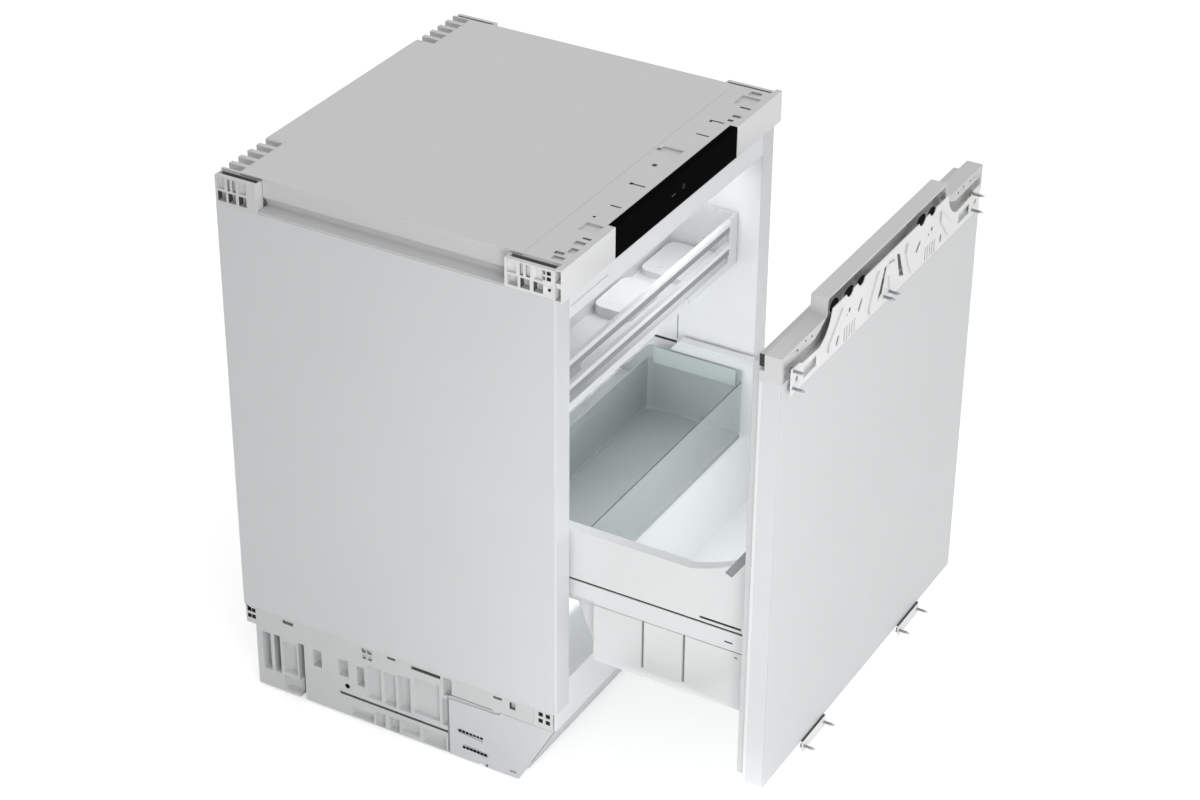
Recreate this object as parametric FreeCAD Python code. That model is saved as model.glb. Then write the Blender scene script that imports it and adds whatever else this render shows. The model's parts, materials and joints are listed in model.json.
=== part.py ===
import FreeCAD, Part
import math
import os

# Built-in under-worktop refrigerator with a pull-out drawer, in millimetres.
# X runs across the front, Y from the front to the back, Z up from the floor.
# While the pieces are made, Y is zero at the front face of the top trim.
# At the end everything moves along Y, so that the origin is the bottom centre of the whole.

Vec = FreeCAD.Vector

# Driving sizes of the cabinet
width = 597.0
height = 820.0
bodyDepth = 524.0
wall = 34.5
sheet = 0.8
cornerRadius = 3.0
trimProud = 9.0
trimHeight = 46.0
blockHeight = 44.0
panelBottom = 135.0
frameBottom = 108.0
sillTop = 177.0
sillLip = 6.0
headTall = 41.0
railPlate = 3.0
sideDepth = 26.5

# Driving sizes of the cold space
linerWall = 2.0
roofDrop = 58.0
backThick = 72.0
stepWall = 32.0
stepFloor = 33.0
stepUnder = 2.5
nicheDeep = 208.0
nicheGap = 2.0

# Driving sizes of the drawer and its front
openTravel = 270.0
drawerRoom = 10.0
doorGap = 1.5
doorThickness = 30.0
doorReveal = 1.0
doorUnder = 3.5
doorDrop = 35.5
capDrop = 10.5
capBand = 36.5
capHalf = 172.0
skin = 2.0

# Driving heights of the drawer and its runners, each above the one before
boxAbove = 35.0
boxTall = 90.0
runnerAbove = 6.5
runnerTall = 24.5
runnerFlange = 5.0
flangeTall = 18.0
sideAbove = 4.0
sideTall = 77.0
frontRise = 60.0

# Driving sizes of the base
baseClear = 3.0
baseFront = 69.0
baseShort = 18.5
baseSheet = 1.5
baseLevel = 14.0

# Clearances, shared by all pieces
restGap = 0.3
slideGap = 0.5
overrun = 5.0

# Places worked out from the sizes above
halfWidth = width / 2
halfOpening = halfWidth - wall
frameY = trimProud
flangeBack = frameY + sheet
railBack = frameY + railPlate
panelTop = height - blockHeight
trimBottom = height - trimHeight
openingTop = trimBottom - headTall
ceiling = height - roofDrop
cavityBack = bodyDepth - backThick
sideInner = halfWidth - sideDepth
baseBack = bodyDepth - baseShort
doorInner = -(doorGap + openTravel)
doorOuter = doorInner - doorThickness
doorHalf = halfWidth - doorReveal
doorBottom = panelBottom + doorUnder
doorTop = height - doorDrop
capTop = height - capDrop
capBottom = doorTop - capBand
boxBottom = sillTop + boxAbove
boxTop = boxBottom + boxTall
runnerBottom = boxTop + runnerAbove
runnerTop = runnerBottom + runnerTall
flangeZ = runnerBottom - runnerFlange
sideBottom = runnerTop + sideAbove
sideTop = sideBottom + sideTall
sideFrontTop = sideTop + frontRise
nicheFront = bodyDepth - nicheDeep
nicheHalf = sideInner - nicheGap
stepFront = nicheFront - stepWall
stepTop = flangeZ - flangeTall - stepUnder
nicheTop = stepTop - stepFloor


def box(x0, x1, y0, y1, z0, z1):
    return Part.makeBox(x1 - x0, y1 - y0, z1 - z0, Vec(x0, y0, z0))


def rod(radius, start, end):
    a = Vec(*start)
    axis = Vec(*end) - a
    return Part.makeCylinder(radius, axis.Length, a, axis)


def cone(r0, r1, start, end):
    a = Vec(*start)
    axis = Vec(*end) - a
    return Part.makeCone(r0, r1, axis.Length, a, axis)


def outline(points):
    # each entry is a corner, or a pair of a middle point and an end point of an arc
    edges = []
    here = points[0]
    for entry in points[1:] + [points[0]]:
        if isinstance(entry, tuple):
            middle, end = entry
            edges.append(Part.Arc(here, middle, end).toShape())
            here = end
        elif (entry - here).Length > 0:
            edges.append(Part.LineSegment(here, entry).toShape())
            here = entry
    return Part.Face(Part.Wire(edges))


def placed(points, make):
    out = []
    for entry in points:
        if isinstance(entry[0], tuple):
            out.append((make(*entry[0]), make(*entry[1])))
        else:
            out.append(make(*entry))
    return out


def prismX(points, x0, x1):
    # outline in Y and Z, pulled along X
    face = outline(placed(points, lambda y, z: Vec(x0, y, z)))
    return face.extrude(Vec(x1 - x0, 0, 0))


def prismY(points, y0, y1):
    # outline in X and Z, pulled along Y
    face = outline(placed(points, lambda x, z: Vec(x, y0, z)))
    return face.extrude(Vec(0, y1 - y0, 0))


def mirrored(shape):
    return shape.mirror(Vec(0, 0, 0), Vec(1, 0, 0))


def joined(shapes):
    whole = shapes[0]
    if len(shapes) > 1:
        whole = whole.fuse(shapes[1:])
    return whole.removeSplitter()


def cut(shape, tools):
    return shape.cut(tools) if tools else shape


def tube(points, radius, bend):
    # straight runs joined by tangent arcs, with a round section
    corners = [Vec(*p) for p in points]
    edges = []
    here = corners[0]
    for before, corner, after in zip(corners, corners[1:], corners[2:]):
        inward = (before - corner).normalize()
        outward = (after - corner).normalize()
        half = inward.getAngle(outward) / 2
        reach = bend / math.tan(half)
        start = corner + inward * reach
        end = corner + outward * reach
        middle = (inward + outward).normalize()
        dip = bend / math.sin(half) - bend
        edges.append(Part.LineSegment(here, start).toShape())
        edges.append(Part.Arc(start, corner + middle * dip, end).toShape())
        here = end
    edges.append(Part.LineSegment(here, corners[-1]).toShape())
    path = Part.Wire(edges)
    circle = Part.makeCircle(radius, corners[0], corners[1] - corners[0])
    return path.makePipeShell([Part.Wire([circle])], True, True)


def pair(name, make):
    left = make()
    return {name + "_left": left, name + "_right": mirrored(left)}


# Cabinet shell

def sidePanel():
    # folded steel: the side itself and the strip of the front face beside the opening
    outer = box(-halfWidth, -halfOpening, frameY, bodyDepth, panelBottom, panelTop)
    front = [e for e in outer.Edges if e.Length > wall and e.CenterOfMass.x < -halfWidth + sheet
             and e.CenterOfMass.y < flangeBack]
    outer = outer.makeFillet(cornerRadius, front)
    inner = box(-halfWidth + sheet, -halfOpening + overrun, flangeBack, bodyDepth + overrun,
                panelBottom - overrun, panelTop + overrun)
    edge = [e for e in inner.Edges if e.Length > wall and e.CenterOfMass.x < -halfOpening
            and e.CenterOfMass.y < flangeBack + sheet]
    inner = inner.makeFillet(cornerRadius - sheet, edge)
    return outer.cut(inner)


beadWidth = 12.0
beadDepth = 3.0


def backPanel():
    inside = halfWidth - sheet
    plate = box(-inside, inside, bodyDepth - sheet, bodyDepth, panelBottom, panelTop)
    plate = plate.cut(box(-nicheHalf, nicheHalf, bodyDepth - overrun, bodyDepth + overrun,
                          panelBottom - overrun, nicheTop))
    beadCount = 4
    beadPitch = (panelTop - nicheTop) / (beadCount + 1)
    ribs = []
    for i in range(beadCount):
        z = nicheTop + beadPitch * (i + 1)
        groove = box(-inside + wall, inside - wall, bodyDepth - beadDepth, bodyDepth + overrun,
                     z - beadWidth / 2, z + beadWidth / 2)
        back = box(-inside + wall - sheet, inside - wall + sheet, bodyDepth - beadDepth - sheet,
                   bodyDepth - sheet, z - beadWidth / 2 - sheet, z + beadWidth / 2 + sheet)
        ribs.append((groove, back))
    plate = joined([plate] + [b for g, b in ribs])
    return cut(plate, [g for g, b in ribs])


stripDepth = 66.0
blockThick = 15.5
blockFront = 10.0
blockFrontEnd = 83.0
blockRearLong = 64.5
blockRearGap = 0.5
blockRearEnd = bodyDepth - blockRearGap
blockRearStart = blockRearEnd - blockRearLong
rearStripHalf = 181.0
rearStripDepth = 30.0
coverWall = 2.5
coverHalf = halfWidth - blockThick
ledge = 2.5


def coverSide():
    # drop, undercut groove and ledge along the left edge of the top cover
    dropRise = 18.0
    grooveRise = 10.0
    grooveIn = 7.0
    dropBottom = panelTop + dropRise
    grooveTop = panelTop + grooveRise
    x = -coverHalf
    lip = -halfWidth + sheet
    points = [(x, height), (x, dropBottom), (x + grooveIn, grooveTop),
              (x + grooveIn, panelTop + ledge + sheet), (lip, panelTop + ledge), (lip, panelTop),
              (x + grooveIn + coverWall, panelTop), (x + grooveIn + coverWall, grooveTop),
              (x + coverWall, dropBottom + coverWall), (x + coverWall, height)]
    return prismY(points, blockFrontEnd + restGap, blockRearStart - restGap)


def topCover():
    side = coverSide()
    rearLine = blockRearEnd - rearStripDepth
    plates = [
        box(-coverHalf + restGap, coverHalf - restGap, stripDepth, blockFrontEnd + overrun,
            height - coverWall, height),
        box(-coverHalf, coverHalf, blockFrontEnd + restGap, blockRearStart - restGap,
            height - coverWall, height),
        box(-coverHalf + restGap, coverHalf - restGap, blockRearStart - overrun,
            rearLine - restGap, height - coverWall, height),
        box(-rearStripHalf + restGap, rearStripHalf - restGap, rearLine - overrun, bodyDepth,
            height - coverWall, height),
        box(-rearStripHalf + restGap, rearStripHalf - restGap, bodyDepth - coverWall, bodyDepth,
            panelTop, height),
        side, mirrored(side)]
    return joined(plates)


# recesses on top of the front strip: from and to across, then from and to in depth
topMarkShares = [
    (-0.975, -0.945, 0.20, 0.45), (-0.929, -0.905, 0.30, 0.50), (-0.894, -0.848, 0.14, 0.30),
    (-0.813, -0.781, 0.15, 0.38), (-0.753, -0.739, 0.14, 0.32), (-0.686, -0.608, 0.20, 0.58),
    (-0.553, -0.540, 0.54, 0.59), (-0.418, -0.408, 0.30, 0.53), (-0.185, -0.175, 0.33, 0.62),
    (-0.190, -0.170, 0.60, 0.67), (0.022, 0.048, 0.58, 0.68), (0.173, 0.232, 0.42, 0.88),
    (0.177, 0.205, 0.86, 0.95), (0.420, 0.430, 0.30, 0.59), (0.582, 0.592, 0.32, 0.58),
    (0.570, 0.592, 0.57, 0.63), (0.622, 0.641, 0.21, 0.33), (0.671, 0.696, 0.15, 0.33),
    (0.779, 0.793, 0.15, 0.39), (0.809, 0.910, 0.18, 0.60), (0.928, 0.970, 0.27, 0.53)]

panelHalf = 165.0
panelThick = 3.0
panelReturn = 11.0
panelRise = 0.8
reveal = 0.6


def frontTrim():
    plateBack = frameY - restGap
    stripWall = 4.0
    endWall = 2.0
    endDeep = 14.5
    webBottom = 20.0
    webTop = 27.0
    markDepth = 3.0
    plate = box(-halfWidth, halfWidth, 0, plateBack, trimBottom, height)
    strip = box(-coverHalf + restGap, coverHalf - restGap, plateBack, stripDepth - restGap,
                height - stripWall, height)
    rear = box(-coverHalf + restGap, coverHalf - restGap, stripDepth - restGap - endWall,
               stripDepth - restGap, panelTop + restGap, height)
    body = joined([plate, strip, rear])
    tools = [box(-panelHalf - reveal, panelHalf + reveal, -overrun, panelThick,
                 trimBottom + panelRise - reveal, height + overrun),
             box(-panelHalf - reveal, panelHalf + reveal, 0, panelReturn + reveal,
                 height - panelThick, height + overrun)]
    for side in (-1, 1):
        for low, high in ((trimBottom + endWall, trimBottom + webBottom),
                          (trimBottom + webTop, height - endWall)):
            a = side * halfWidth
            b = side * (halfWidth - endDeep)
            tools.append(box(min(a, b), max(a, b), endWall, plateBack + overrun, low, high))
    for x0, x1, y0, y1 in topMarkShares:
        tools.append(box(x0 * coverHalf, x1 * coverHalf, y0 * stripDepth, y1 * stripDepth,
                         height - markDepth, height + overrun))
    return cut(body, tools)


def controlPanel():
    face = box(-panelHalf, panelHalf, 0, panelThick, trimBottom + panelRise, height)
    back = box(-panelHalf, panelHalf, 0, panelReturn, height - panelThick, height)
    return joined([face, back])


def controlBoard():
    boardHalf = 120.0
    boardThick = 1.6
    chip = 9.0
    chipHeight = 2.0
    chipCount = 6
    y = frameY + restGap
    low = trimBottom + chip
    high = height - chip
    board = box(-boardHalf, boardHalf, y, y + boardThick, low, high)
    pitch = 2 * boardHalf / chipCount
    parts = [board]
    for i in range(chipCount):
        x = -boardHalf + pitch * (i + 0.5)
        parts.append(box(x - chip / 2, x + chip / 2, y + boardThick, y + boardThick + chipHeight,
                         low + chip, low + 2 * chip))
    return joined(parts)


# pockets in the outer face of a top corner block: from and to in depth, then in height
squareShares = [(0.06, 0.26), (0.32, 0.50), (0.58, 0.76)]
tallShares = [(0.05, 0.23), (0.31, 0.37), (0.43, 0.51), (0.58, 0.76)]
lowRowShares = (0.10, 0.42)
highRowShares = (0.50, 0.88)


def cornerBlock(y0, y1):
    squareDeep = 9.0
    tallDeep = 3.5
    rimWall = 3.0
    wellDeep = 20.0
    x = -halfWidth
    body = box(x, -coverHalf, y0, y1, panelTop, height)
    length = y1 - y0
    tools = []
    for a, b in squareShares:
        tools.append(box(x - overrun, x + squareDeep, y1 - b * length, y1 - a * length,
                         panelTop + lowRowShares[0] * blockHeight,
                         panelTop + lowRowShares[1] * blockHeight))
    for a, b in tallShares:
        tools.append(box(x - overrun, x + tallDeep, y1 - b * length, y1 - a * length,
                         panelTop + highRowShares[0] * blockHeight,
                         panelTop + highRowShares[1] * blockHeight))
    well = box(x + rimWall + tallDeep, -coverHalf - rimWall / 2, y0 + rimWall, y1 - rimWall,
               height - wellDeep, height + overrun)
    lower = box(x - overrun, -coverHalf + overrun, y0 - overrun, y1 + overrun,
                height - rimWall, height + overrun)
    return cut(body, tools + [well, lower])


# small pockets at the nose of a front block, and its fixing hole
noseRowShares = [(0.56, 0.68), (0.74, 0.86)]
noseColumnShares = [(0.08, 0.16), (0.19, 0.27)]
noseHoleShares = (0.11, 0.28)


def frontBlock():
    body = cornerBlock(blockFront, blockFrontEnd)
    length = blockFrontEnd - blockFront
    noseDeep = 5.0
    holeRadius = 2.2
    x = -halfWidth
    tools = []
    for z0, z1 in noseRowShares:
        for a, b in noseColumnShares:
            tools.append(box(x - overrun, x + noseDeep, blockFront + a * length,
                             blockFront + b * length, panelTop + z0 * blockHeight,
                             panelTop + z1 * blockHeight))
    hole = (blockFront + length * noseHoleShares[0], panelTop + blockHeight * noseHoleShares[1])
    tools.append(rod(holeRadius, (x - overrun, *hole), (x + noseDeep, *hole)))
    return cut(body, tools)


def rearBlock():
    slotCount = 5
    slotShare = 0.62
    slotDeep = 12.0
    rim = 2.0
    body = cornerBlock(blockRearStart, blockRearEnd)
    rearLine = blockRearEnd - rearStripDepth
    strip = box(-halfWidth, -rearStripHalf, rearLine, blockRearEnd, panelTop, height)
    start = -coverHalf
    pitch = (-rearStripHalf - start) / slotCount
    tools = []
    for i in range(slotCount):
        x = start + pitch * (i + (1 - slotShare) / 2)
        tools.append(box(x, x + pitch * slotShare, rearLine + rim, blockRearEnd + overrun,
                         height - slotDeep, height + overrun))
    outside = box(-halfWidth - overrun, start, rearLine - overrun, blockRearEnd + overrun,
                  panelTop, height + overrun)
    return joined([body, cut(strip, tools + [outside])])


def frontRailTop():
    slitDrop = 25.0
    slitTall = 3.0
    slitShare = 0.63
    slitLow = trimBottom - slitDrop
    plate = box(-halfOpening, halfOpening, frameY, railBack, openingTop, trimBottom)
    slit = box(-halfOpening + railPlate, -halfOpening * slitShare, frameY - overrun,
               railBack - sheet, slitLow, slitLow + slitTall)
    return plate.cut(slit)


def frontRailBottom():
    low = box(-halfWidth, halfWidth, frameY, railBack, frameBottom, panelBottom)
    high = box(-halfOpening, halfOpening, frameY, railBack, frameBottom, sillTop)
    sill = box(-halfOpening, halfOpening, frameY, railBack + sillLip, sillTop - railPlate, sillTop)
    return joined([low, high, sill])


def cavityBox(grow, start):
    # the cold space, larger by grow all round, with the step over the machine space
    upper = box(-halfOpening - grow, halfOpening + grow, start, cavityBack + grow,
                stepTop - grow, ceiling + grow)
    lower = box(-halfOpening - grow, halfOpening + grow, start, stepFront + grow,
                sillTop - grow, stepTop)
    return upper.fuse(lower).removeSplitter()


def railSpace():
    return [box(-halfWidth, halfWidth, 0, railBack, 0, sillTop),
            box(-halfWidth, halfWidth, 0, railBack + sillLip, sillTop - railPlate, sillTop),
            box(-halfWidth, halfWidth, 0, railBack, openingTop, height)]


def innerLiner():
    # thin skin of the cold space, with the two ledges that carry the tray
    ledgeWide = 8.0
    ledgeTall = 9.0
    shell = cavityBox(linerWall, flangeBack).cut(cavityBox(0, -overrun))
    left = box(-halfOpening, -halfOpening + ledgeWide, trayFront, trayBack,
               trayBottom - ledgeTall, trayBottom)
    return joined([cut(shell, railSpace()), left, mirrored(left)])


evapInset = 64.0
evapAbove = 77.0
evapBelow = 62.0
evapHalf = halfOpening - evapInset
evapBottom = stepTop + evapAbove
evapTop = ceiling - evapBelow
evapTube = 4.0
evapPlate = 1.5
evapFront = cavityBack + linerWall


def insulationFoam():
    inside = halfWidth - sheet
    grooveIn = 12.0
    topHalf = coverHalf - grooveIn
    back = bodyDepth - sheet
    main = box(-inside, inside, flangeBack, back, panelBottom, panelTop)
    corners = [e for e in main.Edges if abs(e.Vertexes[0].Z - e.Vertexes[-1].Z) > sheet
               and e.CenterOfMass.y < frameY + wall]
    main = main.makeFillet(cornerRadius, corners)
    top = box(-topHalf, topHalf, stripDepth, blockRearEnd - rearStripDepth - restGap,
              panelTop, height - coverWall)
    rear = box(-rearStripHalf + restGap, rearStripHalf - restGap, blockRearStart,
               bodyDepth - coverWall, panelTop, height - coverWall)
    body = joined([main, top, rear])
    niche = box(-nicheHalf, nicheHalf, nicheFront, bodyDepth + overrun,
                panelBottom - overrun, nicheTop)
    pocketDeep = evapPlate + 2 * evapTube + restGap
    pocket = box(-evapHalf - restGap, evapHalf + restGap, evapFront, evapFront + pocketDeep,
                 evapBottom - restGap, evapTop + restGap)
    beads = box(-inside + wall - 2 * sheet, inside - wall + 2 * sheet,
                bodyDepth - beadDepth - sheet - restGap, bodyDepth, nicheTop + wall,
                panelTop - wall)
    drops = [rod(evapTube + restGap, (x, pipeY, nicheTop - overrun), (x, pipeY, evapBottom))
             for x in pipeXs]
    return cut(body, [cavityBox(linerWall, 0), niche, pocket, beads] + railSpace() + drops)


pipeY = evapFront + evapPlate + evapTube - restGap
pipeInset = 50.0
pipeXs = (evapHalf - pipeInset, evapHalf - pipeInset / 2)
evapEdge = 20.0
pipeTop = evapBottom + evapEdge - evapTube - restGap


def evaporator():
    # cold plate behind the rear wall of the cold space, with its tube on the back
    runCount = 6
    plate = box(-evapHalf, evapHalf, evapFront, evapFront + evapPlate, evapBottom, evapTop)
    pitch = (evapTop - evapBottom - 2 * evapEdge) / (runCount - 1)
    reach = evapHalf - evapEdge - pitch / 2
    start = Vec(-reach, pipeY, evapBottom + evapEdge)
    edges = []
    here = start
    for i in range(runCount):
        side = 1 if i % 2 == 0 else -1
        end = Vec(side * reach, pipeY, here.z)
        edges.append(Part.LineSegment(here, end).toShape())
        if i < runCount - 1:
            here = end + Vec(0, 0, pitch)
            turn = end + Vec(side * pitch / 2, 0, pitch / 2)
            edges.append(Part.Arc(end, turn, here).toShape())
    circle = Part.makeCircle(evapTube, start, Vec(1, 0, 0))
    coil = Part.Wire(edges).makePipeShell([Part.Wire([circle])], True, True)
    return joined([plate, coil])


# Inside the cold space

lightDepth = 95.0


def lightHousing():
    sideGap = 2.0
    lensHalf = 110.0
    lensFrom = 30.0
    lensTo = 75.0
    shellWall = 2.0
    body = box(-halfOpening + sideGap, halfOpening - sideGap, railBack, lightDepth,
               openingTop, ceiling)
    hollow = box(-halfOpening + sideGap + shellWall, halfOpening - sideGap - shellWall,
                 railBack + shellWall, lightDepth - shellWall, openingTop + shellWall,
                 ceiling - shellWall)
    window = box(-lensHalf, lensHalf, lensFrom, lensTo, openingTop - overrun, openingTop + shellWall)
    lens = box(-lensHalf + restGap, lensHalf - restGap, lensFrom + restGap, lensTo - restGap,
               openingTop, openingTop + shellWall)
    return body.cut([hollow, window]), lens


trayTall = 79.0
trayPlaceShare = 0.592
trayBottom = sideTop + (openingTop - trayTall - sideTop) * trayPlaceShare
trayTop = trayBottom + trayTall
trayFront = 43.0
trayDeep = 107.0
trayBack = trayFront + trayDeep
trayGap = 2.0
trayWall = 2.5
trayHalf = halfOpening - trayGap
postWidth = 24.0
postThick = 4.0


# raised steps in the tray floor: from and to across, from and to in depth, and height
trayStepShares = [(-0.97, -0.42, 0.30, 0.94, 0.26), (0.10, 0.46, 0.42, 0.94, 0.20),
                  (0.60, 0.97, 0.20, 0.94, 0.12)]


def upperTray():
    stepRadius = 14.0
    backShare = 0.62
    lipTall = 12.0
    body = box(-trayHalf, trayHalf, trayFront, trayBack, trayBottom, trayTop)
    hollow = box(-trayHalf + trayWall, trayHalf - trayWall, trayFront - overrun,
                 trayBack - trayWall, trayBottom + trayWall, trayTop + overrun)
    above = box(-trayHalf + trayWall, trayHalf - trayWall, trayBack - 2 * trayWall,
                trayBack + overrun, trayBottom + backShare * trayTall, trayTop + overrun)
    shell = body.cut([hollow, above])
    lip = box(-trayHalf, trayHalf, trayFront, trayFront + trayWall, trayBottom,
              trayBottom + lipTall)
    posts = [box(-trayHalf, -trayHalf + postWidth, trayFront, trayFront + postThick,
                 trayBottom, trayTop)]
    posts.append(mirrored(posts[0]))
    steps = []
    for x0, x1, y0, y1, rise in trayStepShares:
        step = box(x0 * trayHalf, x1 * trayHalf, trayFront + y0 * trayDeep,
                   trayFront + y1 * trayDeep, trayBottom + trayWall,
                   trayBottom + trayWall + rise * trayTall)
        corners = [e for e in step.Edges if abs(e.Vertexes[0].Z - e.Vertexes[-1].Z) > sheet]
        steps.append(step.makeFillet(min(stepRadius, trayDeep / 4), corners))
    return joined([shell, lip] + posts + steps)


trimBarTall = 8.0
insertTall = 11.0
trimBarProud = 3.0
trimBarBehind = 5.0
middleBarShare = 0.44
trimBarFront = trayFront - trimBarProud
trimBarBack = trayFront + trimBarBehind
trimSpan = trayHalf - postWidth


def trayTrims():
    # two bright bars across the front of the tray
    bars = []
    for z in (trayTop, trayBottom + middleBarShare * trayTall + trimBarTall):
        bar = box(-trimSpan, trimSpan, trimBarFront, trimBarBack, z - trimBarTall, z)
        edges = [e for e in bar.Edges if abs(e.CenterOfMass.y - trimBarFront) < sheet
                 and e.Length > postWidth]
        bars.append(bar.makeFillet(trimBarTall / 4, edges))
    return Part.makeCompound(bars)


def trayInserts():
    # grey strips under the bright bars
    back = trimBarBack
    strips = []
    for z in (trayTop, trayBottom + middleBarShare * trayTall + trimBarTall):
        top = z - trimBarTall
        strips.append(box(-trimSpan, trimSpan, trayFront - restGap, back, top - insertTall, top))
    return Part.makeCompound(strips)


# Base

# pockets in the outer face of a base side: from and to in depth and in height, then depth
basePocketShares = [
    (0.952, 0.980, 0.24, 0.72, 0.62), (0.920, 0.940, 0.25, 0.73, 0.62),
    (0.864, 0.912, 0.28, 0.68, 0.34), (0.850, 0.912, 0.06, 0.24, 0.42),
    (0.838, 0.858, 0.02, 0.73, 0.70), (0.779, 0.808, 0.51, 0.72, 0.46),
    (0.690, 0.723, 0.51, 0.72, 0.46), (0.636, 0.661, 0.46, 0.71, 0.46),
    (0.581, 0.626, 0.36, 0.76, 0.24), (0.532, 0.572, 0.35, 0.76, 0.36),
    (0.484, 0.524, 0.35, 0.79, 0.44), (0.389, 0.476, 0.38, 0.83, 0.24),
    (0.384, 0.478, 0.93, 0.97, 0.26), (0.276, 0.380, 0.36, 0.70, 0.24),
    (0.348, 0.375, 0.75, 0.97, 0.46), (0.610, 0.684, 0.04, 0.15, 0.30),
    (0.570, 0.604, 0.03, 0.20, 0.30), (0.524, 0.557, 0.03, 0.20, 0.38),
    (0.458, 0.518, 0.07, 0.22, 0.24), (0.370, 0.448, 0.03, 0.21, 0.30),
    (0.278, 0.364, 0.03, 0.18, 0.24), (0.871, 0.906, 0.92, 0.965, 0.20),
    (0.530, 0.556, 0.95, 0.98, 0.16), (0.188, 0.214, 0.94, 0.97, 0.16),
    (0.145, 0.163, 0.88, 0.965, 0.20), (0.608, 0.622, 0.84, 0.90, 0.12),
    (0.627, 0.640, 0.84, 0.90, 0.12), (0.608, 0.622, 0.92, 0.97, 0.12),
    (0.627, 0.640, 0.92, 0.97, 0.12)]

lowBlockTall = 30.0
coverTop = panelBottom - lowBlockTall
coverStep = 8.0
coverBack = 181.0
coverThick = 3.0
lowBlockFront = 11.0
lowBlockLong = 33.0
rearLowGap = 2.5
rearLowLong = 19.5
rearLowStart = bodyDepth - rearLowGap - rearLowLong
lowBlockWide = 18.0
slantTop = railBack


def slantY(z):
    # front edge of the base, which leans back from the frame to the floor
    share = (z - baseClear) / (frameBottom - baseClear)
    return baseFront + (slantTop - baseFront) * share


def baseSide():
    grooveShare = 0.275
    grooveEndShare = 0.72
    grooveTall = 4.0
    holeRadius = 4.0
    holeShares = (0.694, 0.40)
    lowBlock = panelBottom - lowBlockTall
    front = lowBlockFront + lowBlockLong + restGap
    x = -halfWidth
    points = [(baseBack, baseClear), (baseBack, lowBlock - restGap),
              (rearLowStart - restGap, lowBlock - restGap), (rearLowStart - restGap, panelBottom),
              (front, panelBottom), (front, lowBlock - restGap),
              (slantY(lowBlock - restGap) + baseSheet, lowBlock - restGap),
              (baseFront + 2 * baseSheet, baseClear)]
    body = prismX(points, x, -sideInner)
    hidden = box(x - overrun, x + coverThick, 0, coverBack + restGap, 0, coverTop + restGap)
    tools = [hidden]
    for a, b, c, d, deep in basePocketShares:
        tools.append(box(x - overrun, x + deep * sideDepth, a * baseBack, b * baseBack,
                         c * panelBottom, d * panelBottom))
    tools.append(box(x - overrun, x + grooveTall, coverBack, grooveEndShare * baseBack,
                     grooveShare * panelBottom, grooveShare * panelBottom + grooveTall))
    y = holeShares[0] * baseBack
    z = holeShares[1] * panelBottom
    tools.append(rod(holeRadius, (x - overrun, y, z), (x + sideDepth / 2, y, z)))
    return cut(body, tools)


def sideCover():
    # louvred plate that closes the front end of the base at the side
    stepLong = 32.0
    stepY = baseFront + stepLong
    lowEdge = baseClear - sheet
    x = -halfWidth
    lowTop = coverTop - coverStep
    points = [(coverBack, lowEdge), (coverBack, lowTop), (stepY, lowTop + coverStep / 4),
              (stepY - coverStep / 2, coverTop - restGap), (slantY(coverTop), coverTop - restGap),
              (baseFront, lowEdge)]
    plate = prismX(points, x, x + coverThick)
    slotLong = 41.0
    slotTall = 6.5
    slotTilt = 4.0
    upperIn = 13.0
    upperRise = 46.0
    lowerIn = 21.0
    lowerRise = 22.0
    tools = []
    for y, z in ((coverBack - upperIn, upperRise), (coverBack - lowerIn, lowerRise)):
        tools.append(prismX([(y, z), (y, z + slotTall), (y - slotLong, z + slotTall - slotTilt),
                             (y - slotLong, z - slotTilt)], x - overrun, x + coverThick - sheet))
    notch = 7.0
    markShares = (1.4, 1.9)
    notchY = coverBack - slotLong - 2 * notch
    tools.append(box(x - overrun, x + coverThick + overrun, notchY, notchY + notch, 0, notch))
    tools.append(box(x - overrun, x + coverThick - sheet, baseFront + sheet + notch / 2,
                     baseFront + 2 * notch, markShares[0] * notch, markShares[1] * notch))
    return cut(plate, tools)


def lowBlocks():
    # four moulded corner pieces under the side panels, each with a two by two group of holes
    hole = 6.5
    holeDeep = 8.0
    holeShare = 0.32
    depthShares = (0.16, 0.54)
    heightShares = (0.30, 0.66)
    low = panelBottom - lowBlockTall
    solids = []
    for y, long in ((lowBlockFront + railPlate, lowBlockLong - railPlate), (rearLowStart, rearLowLong)):
        body = box(-halfWidth, -halfWidth + lowBlockWide, y, y + long, low, panelBottom)
        tools = []
        for across in depthShares:
            for up in heightShares:
                hy = y + long * across
                hz = low + lowBlockTall * up
                tools.append(box(-halfWidth - overrun, -halfWidth + holeDeep, hy,
                                 hy + min(hole, long * holeShare), hz, hz + hole))
        body = cut(body, tools)
        solids += [body, mirrored(body)]
    return Part.makeCompound(solids)


footInset = 22.0
footX = sideInner - footInset
footFront = 95.0
footBehind = 44.0
footRear = bodyDepth - footBehind
footStem = 5.0
footNut = 10.0
footNutTall = 14.0
footStemTop = 88.0
footPad = 17.0
footPadTall = 7.0
footPlaces = {"front_left": (-footX, footFront), "front_right": (footX, footFront),
              "rear_left": (-footX, footRear), "rear_right": (footX, footRear)}


def basePlate():
    # folded floor of the base with the slanted front and the threaded bosses of the feet
    half = sideInner - restGap
    top = frameBottom - restGap
    slant = prismX([(slantY(top) - restGap, top), (slantY(top) + baseSheet, top),
                    (baseFront + baseSheet, baseClear), (baseFront - restGap, baseClear)],
                   -half, half)
    floor = box(-half, half, slantY(baseLevel + baseSheet), bodyDepth - sheet, baseLevel,
                baseLevel + baseSheet)
    solids = [slant, floor]
    holes = []
    for x, y in footPlaces.values():
        solids.append(rod(footNut, (x, y, baseLevel), (x, y, baseLevel + footNutTall)))
        holes.append(rod(footStem + slideGap / 5, (x, y, 0), (x, y, footStemTop)))
    return cut(joined(solids), holes)


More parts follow.
